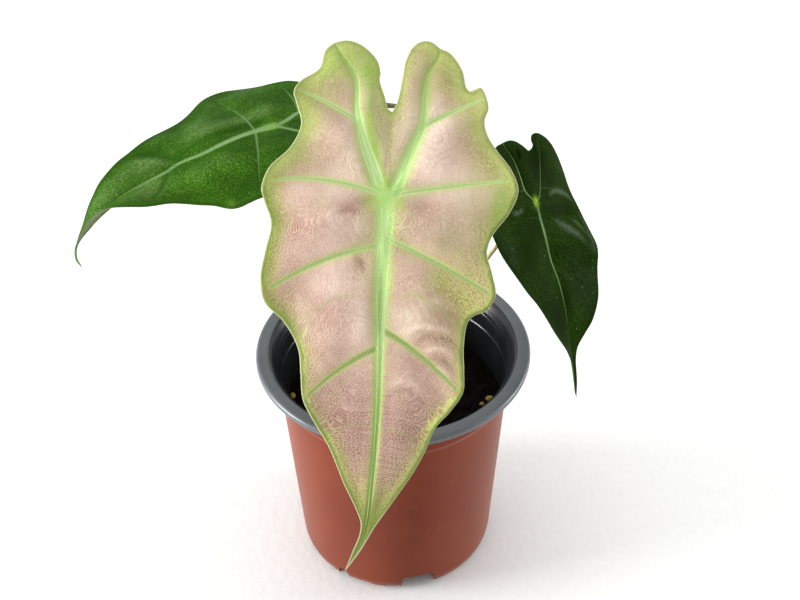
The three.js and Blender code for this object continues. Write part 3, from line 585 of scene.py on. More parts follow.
# Front leaf.  The largest blade, dusty pink with green veins, a green margin and greener lobes; it
# hangs forward over the rim.  Its midrib and side veins are pressed in on top and stand proud below.
SHEET = 0.8
EDGE_SHEET = 0.25
MIDRIB_RIB = 1.5
LATERAL_RIB = 0.6
COLUMNS = 46
COLUMN_CROWDING = 1.12
ROW_STEP = 0.7
SIDES = ("right", "left")
BEHIND_SEAT = 90
AHEAD_OF_SEAT = 180
FAR_OFF = 99.0
VEIN_REACH = 0.94
VEIN_CORE = 0.4

# A leaf's seat, heading, slope, roll, folds and arches place it in space.  Its midrib, outer and inner
# margins, basal veins, their roots and the sinus are points in x and s.  Veins gives each side vein's
# start on the spine, its end on the outer list and its bow; side_end is how far along the midrib the
# side veins keep their colour.  Zones are blobs (x, s, width, length, strength) of green, of olive, and
# of painted shade or, below 0, painted highlight; strokes are lines (zone, width, strength, points)
# laid over them.
FRONT_LEAF = {
    "seat": (-1.9, -30, 212.6),
    "heading": -95,
    "slope": [(-70, 36), (-30, 41), (0, 46), (60, 56), (110, 63), (150, 68)],
    "roll": [(-70, 0), (150, 0)],
    "folds": ([(-70, 0), (150, 0)], [(-70, 0), (150, 0)]),
    "arches": (0, 0),
    "puff": 1.9,
    "wave": 1.0,
    "midrib": [
        (0, 0), (0.6, 7), (0.5, 17), (0.4, 50), (0, 86), (-1.6, 112), (-3, 126), (-5.8, 137),
        (-11.5, 147.5),
    ],
    "sinus": (1.5, -32.5),
    "right": {
        "outer": [
            (-11.5, 147.5), (-8.4, 138.5), (-5.8, 131.5), (-5.2, 126.5), (-7, 121), (-12, 110.5),
            (-18, 96), (-24, 86), (-28, 78), (-29.2, 68.5), (-30.5, 59), (-36, 49), (-43.5, 41.5),
            (-45.5, 33), (-44, 21), (-42.5, 11.5), (-45.5, 3), (-46.5, -1.5), (-44, -9.5), (-36.5, -18),
            (-33, -27), (-35, -34.5), (-36.4, -39.3), (-34, -44), (-27.3, -49.4), (-25.4, -56.7),
            (-22, -60),
        ],
        "root": (-2.2, -4),
        "inner": [
            (-22, -60), (-17, -61), (-11.3, -59), (-5.2, -53), (-3.7, -48), (-3.8, -45), (-1.5, -38.3),
            (0, -33.7),
        ],
        "basal": [
            (0, 0), (-5, -11.7), (-8.5, -20.4), (-10.6, -27.8), (-12, -33.7), (-12.3, -40.4),
            (-13, -45.2), (-15.9, -50.4), (-19.3, -55.2), (-22, -60),
        ],
        "veins": [(57, 8, 2.2), (19, 12.4, 3.2), (0, 17.3, 3.6), (-30.5, 22.3, 0.8)],
    },
    "left": {
        "outer": [
            (-11.5, 147.5), (-5, 137.5), (0, 128), (7, 117), (14.2, 105.5), (18.5, 97), (22.4, 87),
            (28, 80), (32.4, 72.5), (32.5, 65), (32, 55.5), (33.2, 46.3), (35.5, 43.7), (39.8, 41.7),
            (43.2, 36), (41.4, 27), (39.4, 20), (41.2, 13.5), (47.4, 4.6), (50.2, -3.5), (47.5, -11),
            (41.5, -19), (38, -24.7), (36.6, -30), (37.9, -35.1), (34.5, -43), (31.5, -41.2),
            (29.3, -43), (27.5, -49.7), (22.6, -56.6), (18.6, -58.6),
        ],
        "root": (3.6, -0.5),
        "inner": [
            (18.6, -58.6), (15, -61.2), (11.4, -61.3), (8.2, -59), (5.6, -53), (4.8, -46.4),
            (3.2, -36.4),
        ],
        "basal": [
            (0, 0), (6.6, -9), (9.8, -17.9), (12.8, -26.2), (13.6, -32.8), (13.5, -40.4), (14.6, -48),
            (17.6, -53.8), (18.6, -58.6),
        ],
        "veins": [(50, 7.8, 2.4), (16, 13.9, 1.2), (0, 19.5, 0.6), (-30, 24.4, 0.6)],
    },
    "half_widths": {
        "midrib": [(0, 3.1), (0.1, 2.7), (0.3, 1.9), (0.45, 1.35), (0.6, 1.1), (0.85, 0.75), (1, 0.3)],
        "basal": [(0, 2.2), (1, 0.4)],
        "side": (1.1, 0.5),
        "side_end": 999,
    },
    "groove": 0.4,
    "wrinkle": 0.1,
    "zones": [
        [
            (-17, -52, 11, 9, 0.7), (-8, -47, 5, 9, 0.6), (-7, -28, 2.5, 14, 0.7),
            (-4, -13, 1.8, 9, 0.8), (0.5, -4, 3, 4, 1.0), (15, -52, 9, 10, 0.4), (14, -40, 3, 8, 0.5),
            (45, -1, 4, 8, 0.6), (42, 7, 3, 6, 0.5), (23, 29, 6, 4, 0.25), (-30, -34, 10, 14, 0.3),
            (32, -34, 9, 12, 0.25), (-2, -24, 7, 18, 0.4), (36, -2, 13, 10, 0.25),
            (28, 14, 12, 8, 0.22), (-6, 2, 2.5, 2.5, 0.6), (6.5, 3, 2, 2.5, 0.6), (9, 10, 4, 14, 0.2),
            (-8, 18, 3, 16, 0.2), (9, -30, 6, 12, 0.2), (-3, 122, 12, 14, 0.15),
        ],
        [
            (-24, -52, 6, 7, 0.7), (-31, -40, 6, 8, 0.5), (-20, -36, 5, 6, 0.3), (-33, -13, 8, 5, 0.7),
            (-42, -6, 5, 8, 0.7), (-42, 11, 5, 6, 0.9), (-44, 27, 5, 9, 0.6), (-37, 45, 6, 8, 0.6),
            (-29, 60, 6, 12, 0.45), (25, -52, 6, 7, 0.8), (20, -44, 4, 5, 0.4), (30, -42, 6, 8, 0.9),
            (37, -17, 6, 9, 0.8), (42, -9, 5, 7, 0.6), (1.6, -19, 0.6, 14, 1.2), (28, 21, 9, 5, 0.5),
            (35, 30, 7, 9, 1.0), (29, 38, 9, 8, 1.0), (38, 10, 5, 6, 0.6), (22, 32, 5, 4, 0.7),
            (30, 50, 5, 6, 0.5), (26, 80, 7, 9, 0.4), (-17, 103, 6, 16, 0.4), (14, 104, 6, 12, 0.4),
            (-3, 124, 12, 16, 1.3), (-43, 18, 5, 30, 0.7), (34, 42, 4, 9, 0.5), (-20, -58, 12, 4, 0.6),
            (23, 29, 7, 5, 0.4), (14, -57, 8, 5, 0.5), (-33, -30, 6, 10, 0.4), (-17, -50, 10, 9, 0.3),
        ],
        [
            (-12, 5, 5, 3, 0.9), (-7, 3, 3, 2.5, 0.7), (15.5, 4, 6, 3.5, 0.9), (-7, 26, 2.5, 4, 0.8),
            (8, 20, 4, 4, 0.6), (-35, 38, 4, 7, 0.5), (-27, -20, 7, 5, 0.4), (-34, 52, 6, 8, 0.5),
            (-26, 60, 8, 6, 0.35), (-22, 80, 6, 6, 0.2), (20, 84, 8, 8, 0.5), (2, 92, 45, 26, 1.15),
            (0, 127, 16, 18, 1.8), (30, 43, 7, 7, 0.6), (-45, 12, 4, 34, 0.9), (-34, 52, 6, 10, 0.4),
            (-44, 15, 5, 32, 0.5), (-33, 10, 6, 7, 0.5), (-28, -15, 8, 7, 0.35), (-26, -54, 6, 8, 0.3),
            (-43, 40, 6, 12, 0.4), (19, -31, 8, 7, -0.75), (-4, -40, 6, 8, -0.8), (9, -30, 3, 8, -0.5),
            (-13, -30, 4, 8, -0.4), (-31, 14, 6, 5, 0.7), (-14, 86, 6, 6, 0.5), (24, -16, 6, 6, 0.2),
            (-1, -17, 2, 6, -0.4), (-15, 0, 6, 5, -0.5), (-8, 11, 3, 5, -0.6), (0, 90, 2, 12, -0.5),
            (-24, -22, 7, 6, -0.6), (-18, 8, 6, 3, -0.8), (-17, 24, 9, 9, -0.45),
            (-20, -4, 10, 6, -0.6), (18, -13, 10, 9, -1.1), (27, -3, 10, 8, -0.7), (11, 45, 8, 4, -0.7),
            (-17, 35, 7, 5, -0.7), (-6, 45, 4, 12, -0.7), (9, 52, 6, 4, -0.7), (-12, -14, 7, 8, -0.5),
            (18, -28, 7, 8, -0.9), (10, 70, 8, 7, -0.4), (-7, 52, 5, 6, -0.5),
        ],
    ],
    "strokes": [
        (2, 1.3, -1.0, [(10, 51), (16, 48.5), (23, 49), (30, 52)]),
        (2, 1.5, 1.1, [(15, 54.5), (20, 52.5), (26, 53), (32, 56.5)]),
        (2, 1.2, -1.0, [(17, 58), (22, 56.5), (27, 57.5), (30.5, 61)]),
        (2, 1.4, 0.9, [(20, 61), (24, 60.5), (28.5, 63)]),
        (2, 1.4, -0.8, [(20, 64.5), (24, 64.5), (27, 67)]),
        (2, 1.6, 0.8, [(19, 36), (25, 35), (31, 38)]),
        (2, 1.4, -0.6, [(17, 40), (23, 39), (29, 41)]),
        (2, 1.6, 0.7, [(-6, 27), (-9, 23), (-9, 20)]),
        (2, 1.3, 0.6, [(-8, 7), (-13, 6), (-18, 9)]),
        (2, 1.5, -0.6, [(6, 71), (12, 69), (18, 72)]),
        (2, 1.5, 0.5, [(5, 75), (12, 73), (18, 77)]),
        (0, 0.5, 0.4, [(-3, 37.5), (-14, 38.5), (-24, 43), (-30, 47)]),
        (0, 0.5, 0.4, [(4, 38), (13, 37), (22, 41), (30, 47.5)]),
        (0, 0.5, 0.4, [(2, 88), (9, 89), (17, 93)]),
        (0, 0.5, 0.4, [(-4, 86), (-12, 88), (-20, 92)]),
    ],
}


def through(pairs, place):
    """Smooth value at each place through (place, value) pairs, level beyond the ends: a cubic per
    span whose end slopes are those of the chords across each inner pair."""
    at, value = np.array(pairs, float).T
    slope = np.zeros_like(value)
    slope[1:-1] = (value[2:] - value[:-2]) / (at[2:] - at[:-2])
    place = np.clip(place, at[0], at[-1])
    i = np.clip(np.searchsorted(at, place) - 1, 0, len(at) - 2)
    span = at[i + 1] - at[i]
    t = (place - at[i]) / span
    first = (2 * t**3 - 3 * t**2 + 1) * value[i] + (t**3 - 2 * t**2 + t) * span * slope[i]
    return first + (3 * t**2 - 2 * t**3) * value[i + 1] + (t**3 - t**2) * span * slope[i + 1]


def smooth_curve(points, place):
    """Points of a smooth line through a list of points, at places counted in steps of the list: a
    cubic per span whose end slopes weigh the chords by the roots of their lengths."""
    p = np.array(points, float)
    p = np.vstack([2 * p[0] - p[1], p, 2 * p[-1] - p[-2]])
    place = np.clip(np.asarray(place, float), 0, len(points) - 1)
    i = np.minimum(place.astype(int), len(points) - 2)
    t = (place - i)[..., None]
    root = np.sqrt(np.linalg.norm(np.diff(p, axis=0), axis=1))
    d0, d1, d2 = (root[i + k][..., None] for k in range(3))
    p0, p1, p2, p3 = (p[i + k] for k in range(4))
    first = ((p1 - p0) / d0 - (p2 - p0) / (d0 + d1) + (p2 - p1) / d1) * d1
    last = ((p2 - p1) / d1 - (p3 - p1) / (d1 + d2) + (p3 - p2) / d2) * d1
    square, cube = 3 * (p2 - p1) - 2 * first - last, 2 * (p1 - p2) + first + last
    return p1 + first * t + square * t**2 + cube * t**3


def whole_curve(points, steps):
    """Points of the smooth line through a list, steps of them for each point of the list."""
    return smooth_curve(points, np.linspace(0, len(points) - 1, steps * len(points)))


def along(points):
    """Distance of each point of a list from its first, along straight lines."""
    steps = np.linalg.norm(np.diff(np.array(points, float), axis=0), axis=1)
    return np.concatenate([[0], np.cumsum(steps)])


def nearest(points, line):
    """Distance from each flat point to a line of points, and where on the line it is, from 0 to 1:
    the least over the line's straight pieces, each measured at right angles or to its ends."""
    best = np.full(len(points), np.inf)
    share = np.zeros(len(points))
    at = along(line)
    for start, step, begin, length in zip(line[:-1], np.diff(line, axis=0), at[:-1], np.diff(at)):
        t = np.clip((points - start) @ step / (step @ step), 0, 1)
        distance = np.linalg.norm(points - start - t[:, None] * step, axis=1)
        closer = distance < best
        best = np.where(closer, distance, best)
        share = np.where(closer, (begin + t * length) / at[-1], share)
    return best, share


def on_blade(leaf, x, s, z):
    """Carries flat blade points into space.  The midrib is the running sum of its direction, which
    falls by the slope at each distance s; x runs out from it on a line turned by the roll and the
    fold of its half, drooping by the square of x, and z stands square to that line."""
    heading = math.radians(leaf["heading"])

    def forward(s):
        fall = np.radians(through(leaf["slope"], s))
        level = np.cos(fall)
        return np.stack([level * math.cos(heading), level * math.sin(heading), -np.sin(fall)], -1)

    steps = np.arange(-BEHIND_SEAT, AHEAD_OF_SEAT + 1.0)
    step_ways = (forward(steps[:-1]) + forward(steps[1:])) / 2
    midline = np.vstack([[0, 0, 0], np.cumsum(step_ways, axis=0)])
    midline += np.array(leaf["seat"]) - midline[BEHIND_SEAT]
    middle = np.stack([np.interp(s, steps, midline[:, k]) for k in range(3)], -1)
    across = np.array([-math.sin(heading), math.cos(heading), 0])
    up = np.cross(forward(s), across)
    right_fold, left_fold = (np.radians(through(fold, s)) for fold in leaf["folds"])
    turn = np.radians(through(leaf["roll"], s)) + np.where(x < 0, -right_fold, left_fold)
    turn = turn[:, None]
    out = across * np.cos(turn) + up * np.sin(turn)
    normal = up * np.cos(turn) - across * np.sin(turn)
    arch = np.where(x < 0, *leaf["arches"])
    return middle + out * x[:, None] + normal * (z - arch * x**2)[:, None]


def at_distance(points, distance):
    """Points of the smooth line through a list, at distances along it."""
    return smooth_curve(points, np.interp(distance, along(points), np.arange(len(points))))


def spine_point(leaf, half, d):
    """A point of the spine: d along the midrib, or minus d along the half's basal vein."""
    forward, back = at_distance(leaf["midrib"], d), at_distance(half["basal"], -d)
    return np.where((d >= 0)[:, None], forward, back)


def rows_of(leaf, half, d):
    """Where rows that start at spine places d end on the margin list, their bow, and how far each is
    from one side vein to the next."""
    tip = (along(leaf["midrib"])[-1], 0, 0)
    lobe_end = (-along(half["basal"])[-1], len(half["outer"]) - 1, 0)
    at, margin, bow = np.array([tip, *half["veins"], lobe_end], float).T
    i = np.clip(np.searchsorted(-at, -d, side="right") - 1, 0, len(at) - 2)
    share = np.clip((at[i] - d) / (at[i] - at[i + 1]), 0, 1)
    return margin[i] + share * (margin[i + 1] - margin[i]), bow[i] + share * (bow[i + 1] - bow[i]), share


def outer_rows(leaf, half, d, v):
    """Flat points and lift of rows from the spine to the outer margin, v across from 0 to 1: each row
    is bowed towards the base and puffed up between the veins; the margin waves with the veins."""
    margin, bow, share = rows_of(leaf, half, d)
    start, end = spine_point(leaf, half, d), smooth_curve(half["outer"], margin)
    width = np.abs(end - start)[:, :1]
    flat = start[:, None] + (end - start)[:, None] * v[None, :, None]
    flat[..., 1] -= bow[:, None] * np.minimum(1, width / 20) * 4 * v * (1 - v)
    puff = leaf["puff"] * np.sin(math.pi * share[:, None]).clip(0) ** 1.2 * np.sin(math.pi * v**0.85)
    wave = leaf["wave"] * np.cos(2 * math.pi * share[:, None]) * v**3
    return flat, (puff + wave) * np.minimum(1, width / 30)


def inner_rows(leaf, half, d, v):
    """Flat points and lift of rows from the basal vein to the inner margin and the sinus."""
    share = -d / along(half["basal"])[-1]
    end = smooth_curve([*half["inner"], leaf["sinus"]], len(half["inner"]) * (1 - share))
    start = spine_point(leaf, half, d)
    flat = start[:, None] + (end - start)[:, None] * v[None, :, None]
    return flat, 0.5 * leaf["puff"] * np.sin(math.pi * share[:, None]) * np.sin(math.pi * v)


def even_places(leaf, sides, low, high):
    """Spine places from high to low whose rows lie at most a step apart at both of their ends."""
    fine = np.linspace(high, low, 3000)
    travel = np.abs(np.diff(fine))
    for side in sides:
        end = smooth_curve(leaf[side]["outer"], rows_of(leaf, leaf[side], fine)[0])
        travel = np.maximum(travel, np.linalg.norm(np.diff(end, axis=0), axis=1))
    total = np.concatenate([[0], np.cumsum(travel)])
    return np.interp(np.linspace(0, total[-1], math.ceil(total[-1] / ROW_STEP) + 1), total, fine)


def flat_blade(leaf):
    """The blade laid flat: points, lift and triangles.  The rows of its four patches, an outer and an
    inner one in each half, are welded where their points meet."""
    v = np.linspace(0, 1, COLUMNS) ** COLUMN_CROWDING
    shared_places = even_places(leaf, SIDES, 0, along(leaf["midrib"])[-1])
    patches = []
    for side in SIDES:
        half = leaf[side]
        back = even_places(leaf, (side,), -along(half["basal"])[-1], 0)
        outer = outer_rows(leaf, half, np.concatenate([shared_places, back[1:]]), v)
        patches += [(outer, side == "left"), (inner_rows(leaf, half, back, v), side == "right")]
    flat, lift, faces, count = [], [], [], 0
    for (points, height), flip in patches:
        rows, columns = height.shape
        corner = count + (np.arange(rows - 1)[:, None] * columns + np.arange(columns - 1)).reshape(-1)
        a, b, c, d = corner, corner + columns, corner + columns + 1, corner + 1
        pair = np.concatenate([np.stack([a, b, c], -1), np.stack([a, c, d], -1)])
        faces.append(pair[:, ::-1] if flip else pair)
        flat.append(points.reshape(-1, 2))
        lift.append(height.reshape(-1))
        count += rows * columns
    flat, lift, faces = np.vstack(flat), np.concatenate(lift), np.vstack(faces)
    _, first, merged = np.unique(np.round(flat, 3), axis=0, return_index=True, return_inverse=True)
    faces = merged.reshape(-1)[faces]
    proper = (faces[:, 0] != faces[:, 1]) & (faces[:, 1] != faces[:, 2]) & (faces[:, 2] != faces[:, 0])
    return flat[first], lift[first], faces[proper]


def vein_distances(leaf, flat):
    """How each flat point lies to the veins: distances from the spine, the side veins and the margin;
    the first two also over the vein's half width there; how much of the spine is still ahead; and
    the flow of the small veins, which run as rungs between the veins: the place along the near
    veins, each weighed by the fourth power of its nearness, and the mean distance from them."""
    widths = leaf["half_widths"]
    spine_gap = side_gap = margin_gap = np.full(len(flat), FAR_OFF)
    spine_share = side_share = side_paint = np.full(len(flat), FAR_OFF)
    spine_left, pull, rung, far = np.zeros((4, len(flat)))
    roots = {side: np.array([vein[0] for vein in leaf[side]["veins"]]) for side in SIDES}
    midrib_places = np.linspace(0, along(leaf["midrib"])[-1], 90)
    spine_lines = {"midrib": spine_point(leaf, leaf["right"], midrib_places)}
    for side in SIDES:
        basal = [leaf[side].get("root", (0, 0)), *leaf[side]["basal"][1:]]
        spine_lines[side] = smooth_curve(basal, np.linspace(0, len(basal) - 1.05, 50))
    for which, line in spine_lines.items():
        forward = which == "midrib"
        gap, share = nearest(flat, line)
        half_width = through(widths["midrib" if forward else "basal"], share)
        spine_left = np.where(gap < spine_gap, 1 - share, spine_left)
        far = np.where(gap < spine_gap, share * forward, far)
        place = share * along(line)[-1] * (1 if forward else -1)
        from_root = [np.abs(place[:, None] - roots[side]).min(1) for side in SIDES]
        weight = 1 / (gap + VEIN_CORE) ** 4
        rung += weight * np.where(flat[:, 0] < 0, *from_root)
        pull += weight
        spine_gap = np.minimum(spine_gap, gap)
        spine_share = np.minimum(spine_share, gap / half_width)
    for side in SIDES:
        half = leaf[side]
        for place, _, _ in half["veins"]:
            row, _ = outer_rows(leaf, half, np.array([place], float), np.linspace(0, VEIN_REACH, 24))
            gap, share = nearest(flat, row[0])
            weight = 1 / (gap + VEIN_CORE) ** 4
            rung += weight * share * along(row[0])[-1]
            pull += weight
            half_width = widths["side"][0] + (widths["side"][1] - widths["side"][0]) * share
            strength = min(1, max(0.05, 1 - place / widths["side_end"]))
            side_paint = np.minimum(side_paint, gap / (strength * half_width))
            side_gap = np.minimum(side_gap, gap)
            side_share = np.minimum(side_share, gap / half_width)
        for edge in (half["outer"], [*half["inner"], leaf["sinus"]]):
            margin_gap = np.minimum(margin_gap, nearest(flat, whole_curve(edge, 6))[0])
    return {
        "spine": (spine_gap, spine_share, spine_left),
        "side": (side_gap, side_share, side_paint),
        "margin": margin_gap,
        "flow": np.stack([rung / pull, pull**-0.25, far], -1),
    }


def colour_zones(leaf, flat):
    """Patches of colour, three numbers per point: the leaf's own green and olive, and painted shade
    above 0 or painted highlight below 0.  Each is a sum of bell-shaped blobs and of strokes that fade
    out at their ends."""
    zones = np.zeros((len(flat), 3))
    for column, blobs in enumerate(leaf["zones"]):
        for x, s, wide, long, strength in blobs:
            away = ((flat - (x, s)) / (wide, long)) ** 2
            zones[:, column] += strength * np.exp(-away.sum(1))
    for column, width, strength, line in leaf["strokes"]:
        gap, share = nearest(flat, whole_curve(line, 8))
        ends = np.sin(math.pi * (0.08 + 0.84 * share)) ** 0.7
        zones[:, column] += strength * np.exp(-((gap / width) ** 2)) * ends
    return zones


def new_blade(name, leaf, materials):
    """A closed blade: the flat blade lifted by the relief of veins and wrinkles, doubled into an upper
    and a lower face, and joined round the edge.  Stores per point: flow (along and across the small
    veins), veins (distances over half widths, and from the margin), flat (x, s, 1 below) and zones."""
    flat, lift, faces = flat_blade(leaf)
    distances = vein_distances(leaf, flat)
    spine_gap, spine_share, spine_left = distances["spine"]
    side_gap, side_share, side_paint = distances["side"]
    margin_gap, flow = distances["margin"], distances["flow"]
    zones = colour_zones(leaf, flat)
    x, s = flat.T

    trough = 1 / (1 + spine_share**4) + 0.5 / (1 + side_share**4)
    ridge = np.exp(-((2.2 * spine_share) ** 2)) + 0.5 * np.exp(-((2.0 * side_share) ** 2))
    open_part = np.clip(np.minimum(spine_gap, side_gap) / 5, 0, 1) * np.clip(margin_gap / 4, 0, 1)
    ripple = lattice_noise(flow[:, 0] + 60, flow[:, 1] / 3 + x / 9 + 60, 1.6, 31)
    roll = lattice_noise(x + 90, s + 90, 9.0, 32) + 1.2 * lattice_noise(x + 90, s + 90, 17.0, 33)
    shallow = np.clip(margin_gap / 2, 0, 1) * np.clip(np.hypot(x, s) / 7, 0.2, 1)
    wrinkles = leaf["wrinkle"] * (0.5 * ripple + 3 * roll) - 0.5 * zones[:, 2]
    top = lift + leaf["groove"] * (0.9 * ridge - trough) * shallow + open_part * wrinkles
    below = EDGE_SHEET + (SHEET - EDGE_SHEET) * np.clip(margin_gap / 3, 0, 1) ** 0.5
    rib = MIDRIB_RIB * np.clip(0.15 + spine_left, 0, 1) / (1 + (spine_share / 1.1) ** 4)
    rib = np.maximum(rib, LATERAL_RIB / (1 + (side_share / 1.3) ** 4)) * np.clip(margin_gap / 3, 0, 1)
    upper = on_blade(leaf, x, s, top)
    lower = on_blade(leaf, x, s, lift + 0.6 * (top - lift) * open_part - below - rib)

    count = len(flat)
    edges = np.concatenate([faces[:, [0, 1]], faces[:, [1, 2]], faces[:, [2, 0]]])
    key = edges.min(1) * count + edges.max(1)
    _, index, uses = np.unique(key, return_index=True, return_counts=True)
    p, q = edges[index[uses == 1]].T
    rim = [np.stack([q, p, p + count], -1), np.stack([q, p + count, q + count], -1)]
    every_face = np.vstack([faces, faces[:, ::-1] + count, *rim])
    made = new_piece(name, np.vstack([upper, lower]), every_face, materials)
    both = {
        "flow": np.vstack([flow, flow]),
        "veins": np.tile(np.stack([spine_share, side_paint, margin_gap], -1), (2, 1)),
        "flat": np.column_stack([np.tile(flat, (2, 1)), np.repeat([0.0, 1.0], count)]),
        "zones": np.vstack([zones, zones]),
    }
    for key, values in both.items():
        stored = made.data.attributes.new(key, "FLOAT_VECTOR", "POINT")
        stored.data.foreach_set("vector", values.astype(np.float32).reshape(-1))
    return made


def attribute(tree, name):
    """The three parts of an attribute that the mesh stores."""
    return Field(tree, add_node(tree, "Attribute", attribute_name=name).outputs["Vector"]).parts()


# The masks that the three leaves share, each from 0 to 1.  Small veins run as rungs from vein to vein
# (psi and phi are the flow with a little wander), with a finer net between them.  Distances from a
# vein count in its half widths, distances from the margin and x and s in millimetres.
small_veins = bpy.data.node_groups.new("small_veins", "ShaderNodeTree")
place = object_place(small_veins)
rung, gap, far = attribute(small_veins, "flow")
from_spine, from_side, from_edge = attribute(small_veins, "veins")
x, s, lower_face = attribute(small_veins, "flat")
wander = place.noise(140.0) - 0.5
psi = wander * 3.0 + rung
phi = wander * 4.0 + gap
net_place = (psi * 1.15).beside(phi * 0.75)
net_values = {"Vector": net_place, "Scale": 1.0}
cells = net_place.node(
    "TexVoronoi", net_values, "Distance", voronoi_dimensions="2D", feature="DISTANCE_TO_EDGE"
).rise(0.2, 0.0)
bend = (psi * 0.35).beside(phi * 0.16).noise(1.0, 2.0)
lines = (bend * 2.4 + psi * 0.85).step("PINGPONG", 0.5)
rungs = lines.rise(0.34, 0.04) * gap.rise(8.0, 1.5, 0.1, 0.4)
fine = rungs.most(cells * gap.rise(0.5, 5.0, 0.45, 0.85))
from_margin = from_edge * s.rise(-30.0, 25.0, 0.45, 1.0).most(x.step("ABSOLUTE").rise(20.0, 10.0))
near = from_margin.rise(6.5, 1.2).most(from_spine.rise(3.2, 1.0))
near = near.most(from_side.rise(5.0, 1.2, 0.0, 0.8)).most(place.noise(38.0).rise(0.52, 0.7, 0.0, 0.5))
streak_place = (psi * 0.9).beside(phi * 0.04)
streak = streak_place.noise(1.0, 3.0, 0.7)
feather = streak_place.noise(2.6, 2.0).rise(0.3, 0.7)
flank = (feather * -2.0 + from_spine).rise(1.3, 0.0).most((feather * -2.0 + from_side).rise(1.4, -0.8))
flank = flank.most((feather * -2.2 + from_margin).rise(2.2, 0.4) * 0.8)
lane = (from_spine * 4.0 + x.step("GREATER_THAN") * 7.0).beside(s * 0.03)
side = from_side.rise(1.5, 0.6)
off_spine = from_spine.rise(0.8, 1.4)
before_tip = s.rise(100.0, 124.0, 1.0, 0.25)
tip = s.rise(108.0, 128.0) * s.rise(149.0, 140.0, 0.2, 1.4)
# Painted shade on the margin where x is below -26 mm, laid on in the low tone.
painted_shade_margin = from_margin.rise(7.5, 1.5, 0.0, 0.8) * x.rise(-26.0, -35.0)
painted_shade_margin = painted_shade_margin * streak.rise(0.25, 0.6, 0.55, 1.0)
spine = (streak * -0.5 + from_spine).rise(1.3, 0.35) * s.rise(-56.0, -24.0, 0.3, 1.0)
from_seat = s.step("ABSOLUTE").rise(1.0, 9.0)
midrib_core = from_spine.rise(0.4, 0.1) * far.rise(0.2, 0.6, 0.0, 0.4)
dots = add_node(small_veins, "TexVoronoi", {"Vector": place, "Scale": 420.0}).outputs
chosen = Field(small_veins, dots["Color"]).parts()[0].step("GREATER_THAN", 0.8)
ruffled = (wander + streak) * 1.8 + from_edge
group_outputs(small_veins, {
    "Fine": fine,
    "Coarse": fine * near * before_tip * s.rise(-40.0, 10.0, 0.2, 1.0),
    "Spine": spine,
    # Ridge: pale streaks along the midrib past the seat, partly the vein's own pale colour and partly
    # painted highlight on its raised ridge.
    "Ridge": spine * from_seat * lane.noise(1.0, 2.0).rise(0.4, 0.68),
    "Far": spine * far.rise(0.2, 0.75),
    # Core: the middle of the side veins and of the midrib's outer part; on the pink blade its darker
    # tone is painted shade along the veins' grooves.
    "Core": (from_side.rise(0.5, 0.15) * off_spine).most(midrib_core),
    "Side": side,
    # Low: olive on the side veins and at the tip, and painted shade on one margin.
    "Low": (side * s.rise(5.0, 45.0) * off_spine).most(tip).most(painted_shade_margin),
    "Flank": flank * before_tip,
    "Edge": from_margin.rise(8.0, 0.5) * streak.rise(0.2, 0.7, 0.4, 1.0),
    "Margin": ruffled.rise(2.9, 1.5) * s.rise(-30.0, 10.0, 0.45, 1.0),
    "Rim": (from_edge * s.rise(105.0, 140.0, 1.0, 0.5)).rise(0.32, 0.12),
    "Streak": streak,
    "Speck": Field(small_veins, dots["Distance"]).rise(0.12, 0.05) * chosen,
    "Below": lower_face.rise(0.3, 0.6),
})


def leaf_material(name, tones, roughness, specular, mottle_scale):
    """A satin leaf: base is its two ground colours; each other tone is a colour and its strength where
    it is laid over; streaky and dotted are the least share of a patch between streaks and dots."""
    made, tree, shader = new_material(name, roughness, Specular_IOR_Level=specular)
    mask = placed_group(tree, small_veins)
    place = object_place(tree)
    # Green and olive are the leaf's own colour; the third zone is painted shade above 0 and painted
    # highlight below 0.
    green, olive, dark = attribute(tree, "zones")
    cloud = place.noise(45.0, 4.0, 0.6)
    grain = place.noise(mottle_scale, 3.0, 0.6)
    streaky = mask["Streak"].rise(0.3, 0.65, tones["streaky"], 1.0)
    dotted = grain.rise(0.4, 0.62, tones["dotted"], 1.0)
    blotchy = grain.rise(0.4, 0.58, 0.35, 1.25)
    worn = mask["Streak"].rise(0.3, 0.65, 0.75, 1.0) * grain.rise(0.4, 0.6, 0.8, 1.1)
    on_top = ("Margin", "Side", "Spine", "Ridge", "Far", "Core", "Low", "Speck", "Rim", "Below")
    layers = (
        ("mottle", grain.rise(0.46, 0.64) * cloud.rise(0.35, 0.6, 0.25, 1.0)),
        # The next two layers paint shade where the third zone is above 0 and highlights where it is
        # below 0, broken by streaks and dots.
        ("painted_shade", dark.most(0.0) * streaky),
        ("painted_highlight", (dark * -1.0).most(0.0) * streaky * dotted),
        ("edge", mask["Edge"] * blotchy),
        ("olive", olive * streaky * blotchy),
        ("fine", mask["Fine"]),
        ("coarse", mask["Coarse"]),
        ("coarse", mask["Fine"] * olive),
        ("flank", mask["Flank"]),
        ("green", green * worn),
        *((key.lower(), mask[key]) for key in on_top),
    )
    colour = cloud.rise(0.3, 0.7).blend(*(srgb(*tone) for tone in tones["base"]))
    for key, share in layers:
        if key in tones:
            tone, strength = tones[key]
            colour = (share * strength).blend(colour, srgb(*tone))
    colour.feed(shader.inputs["Base Color"])
    bump(shader, mask["Coarse"] * -0.6 + (mask["Fine"] * -0.5 + grain), 0.12)
    return made


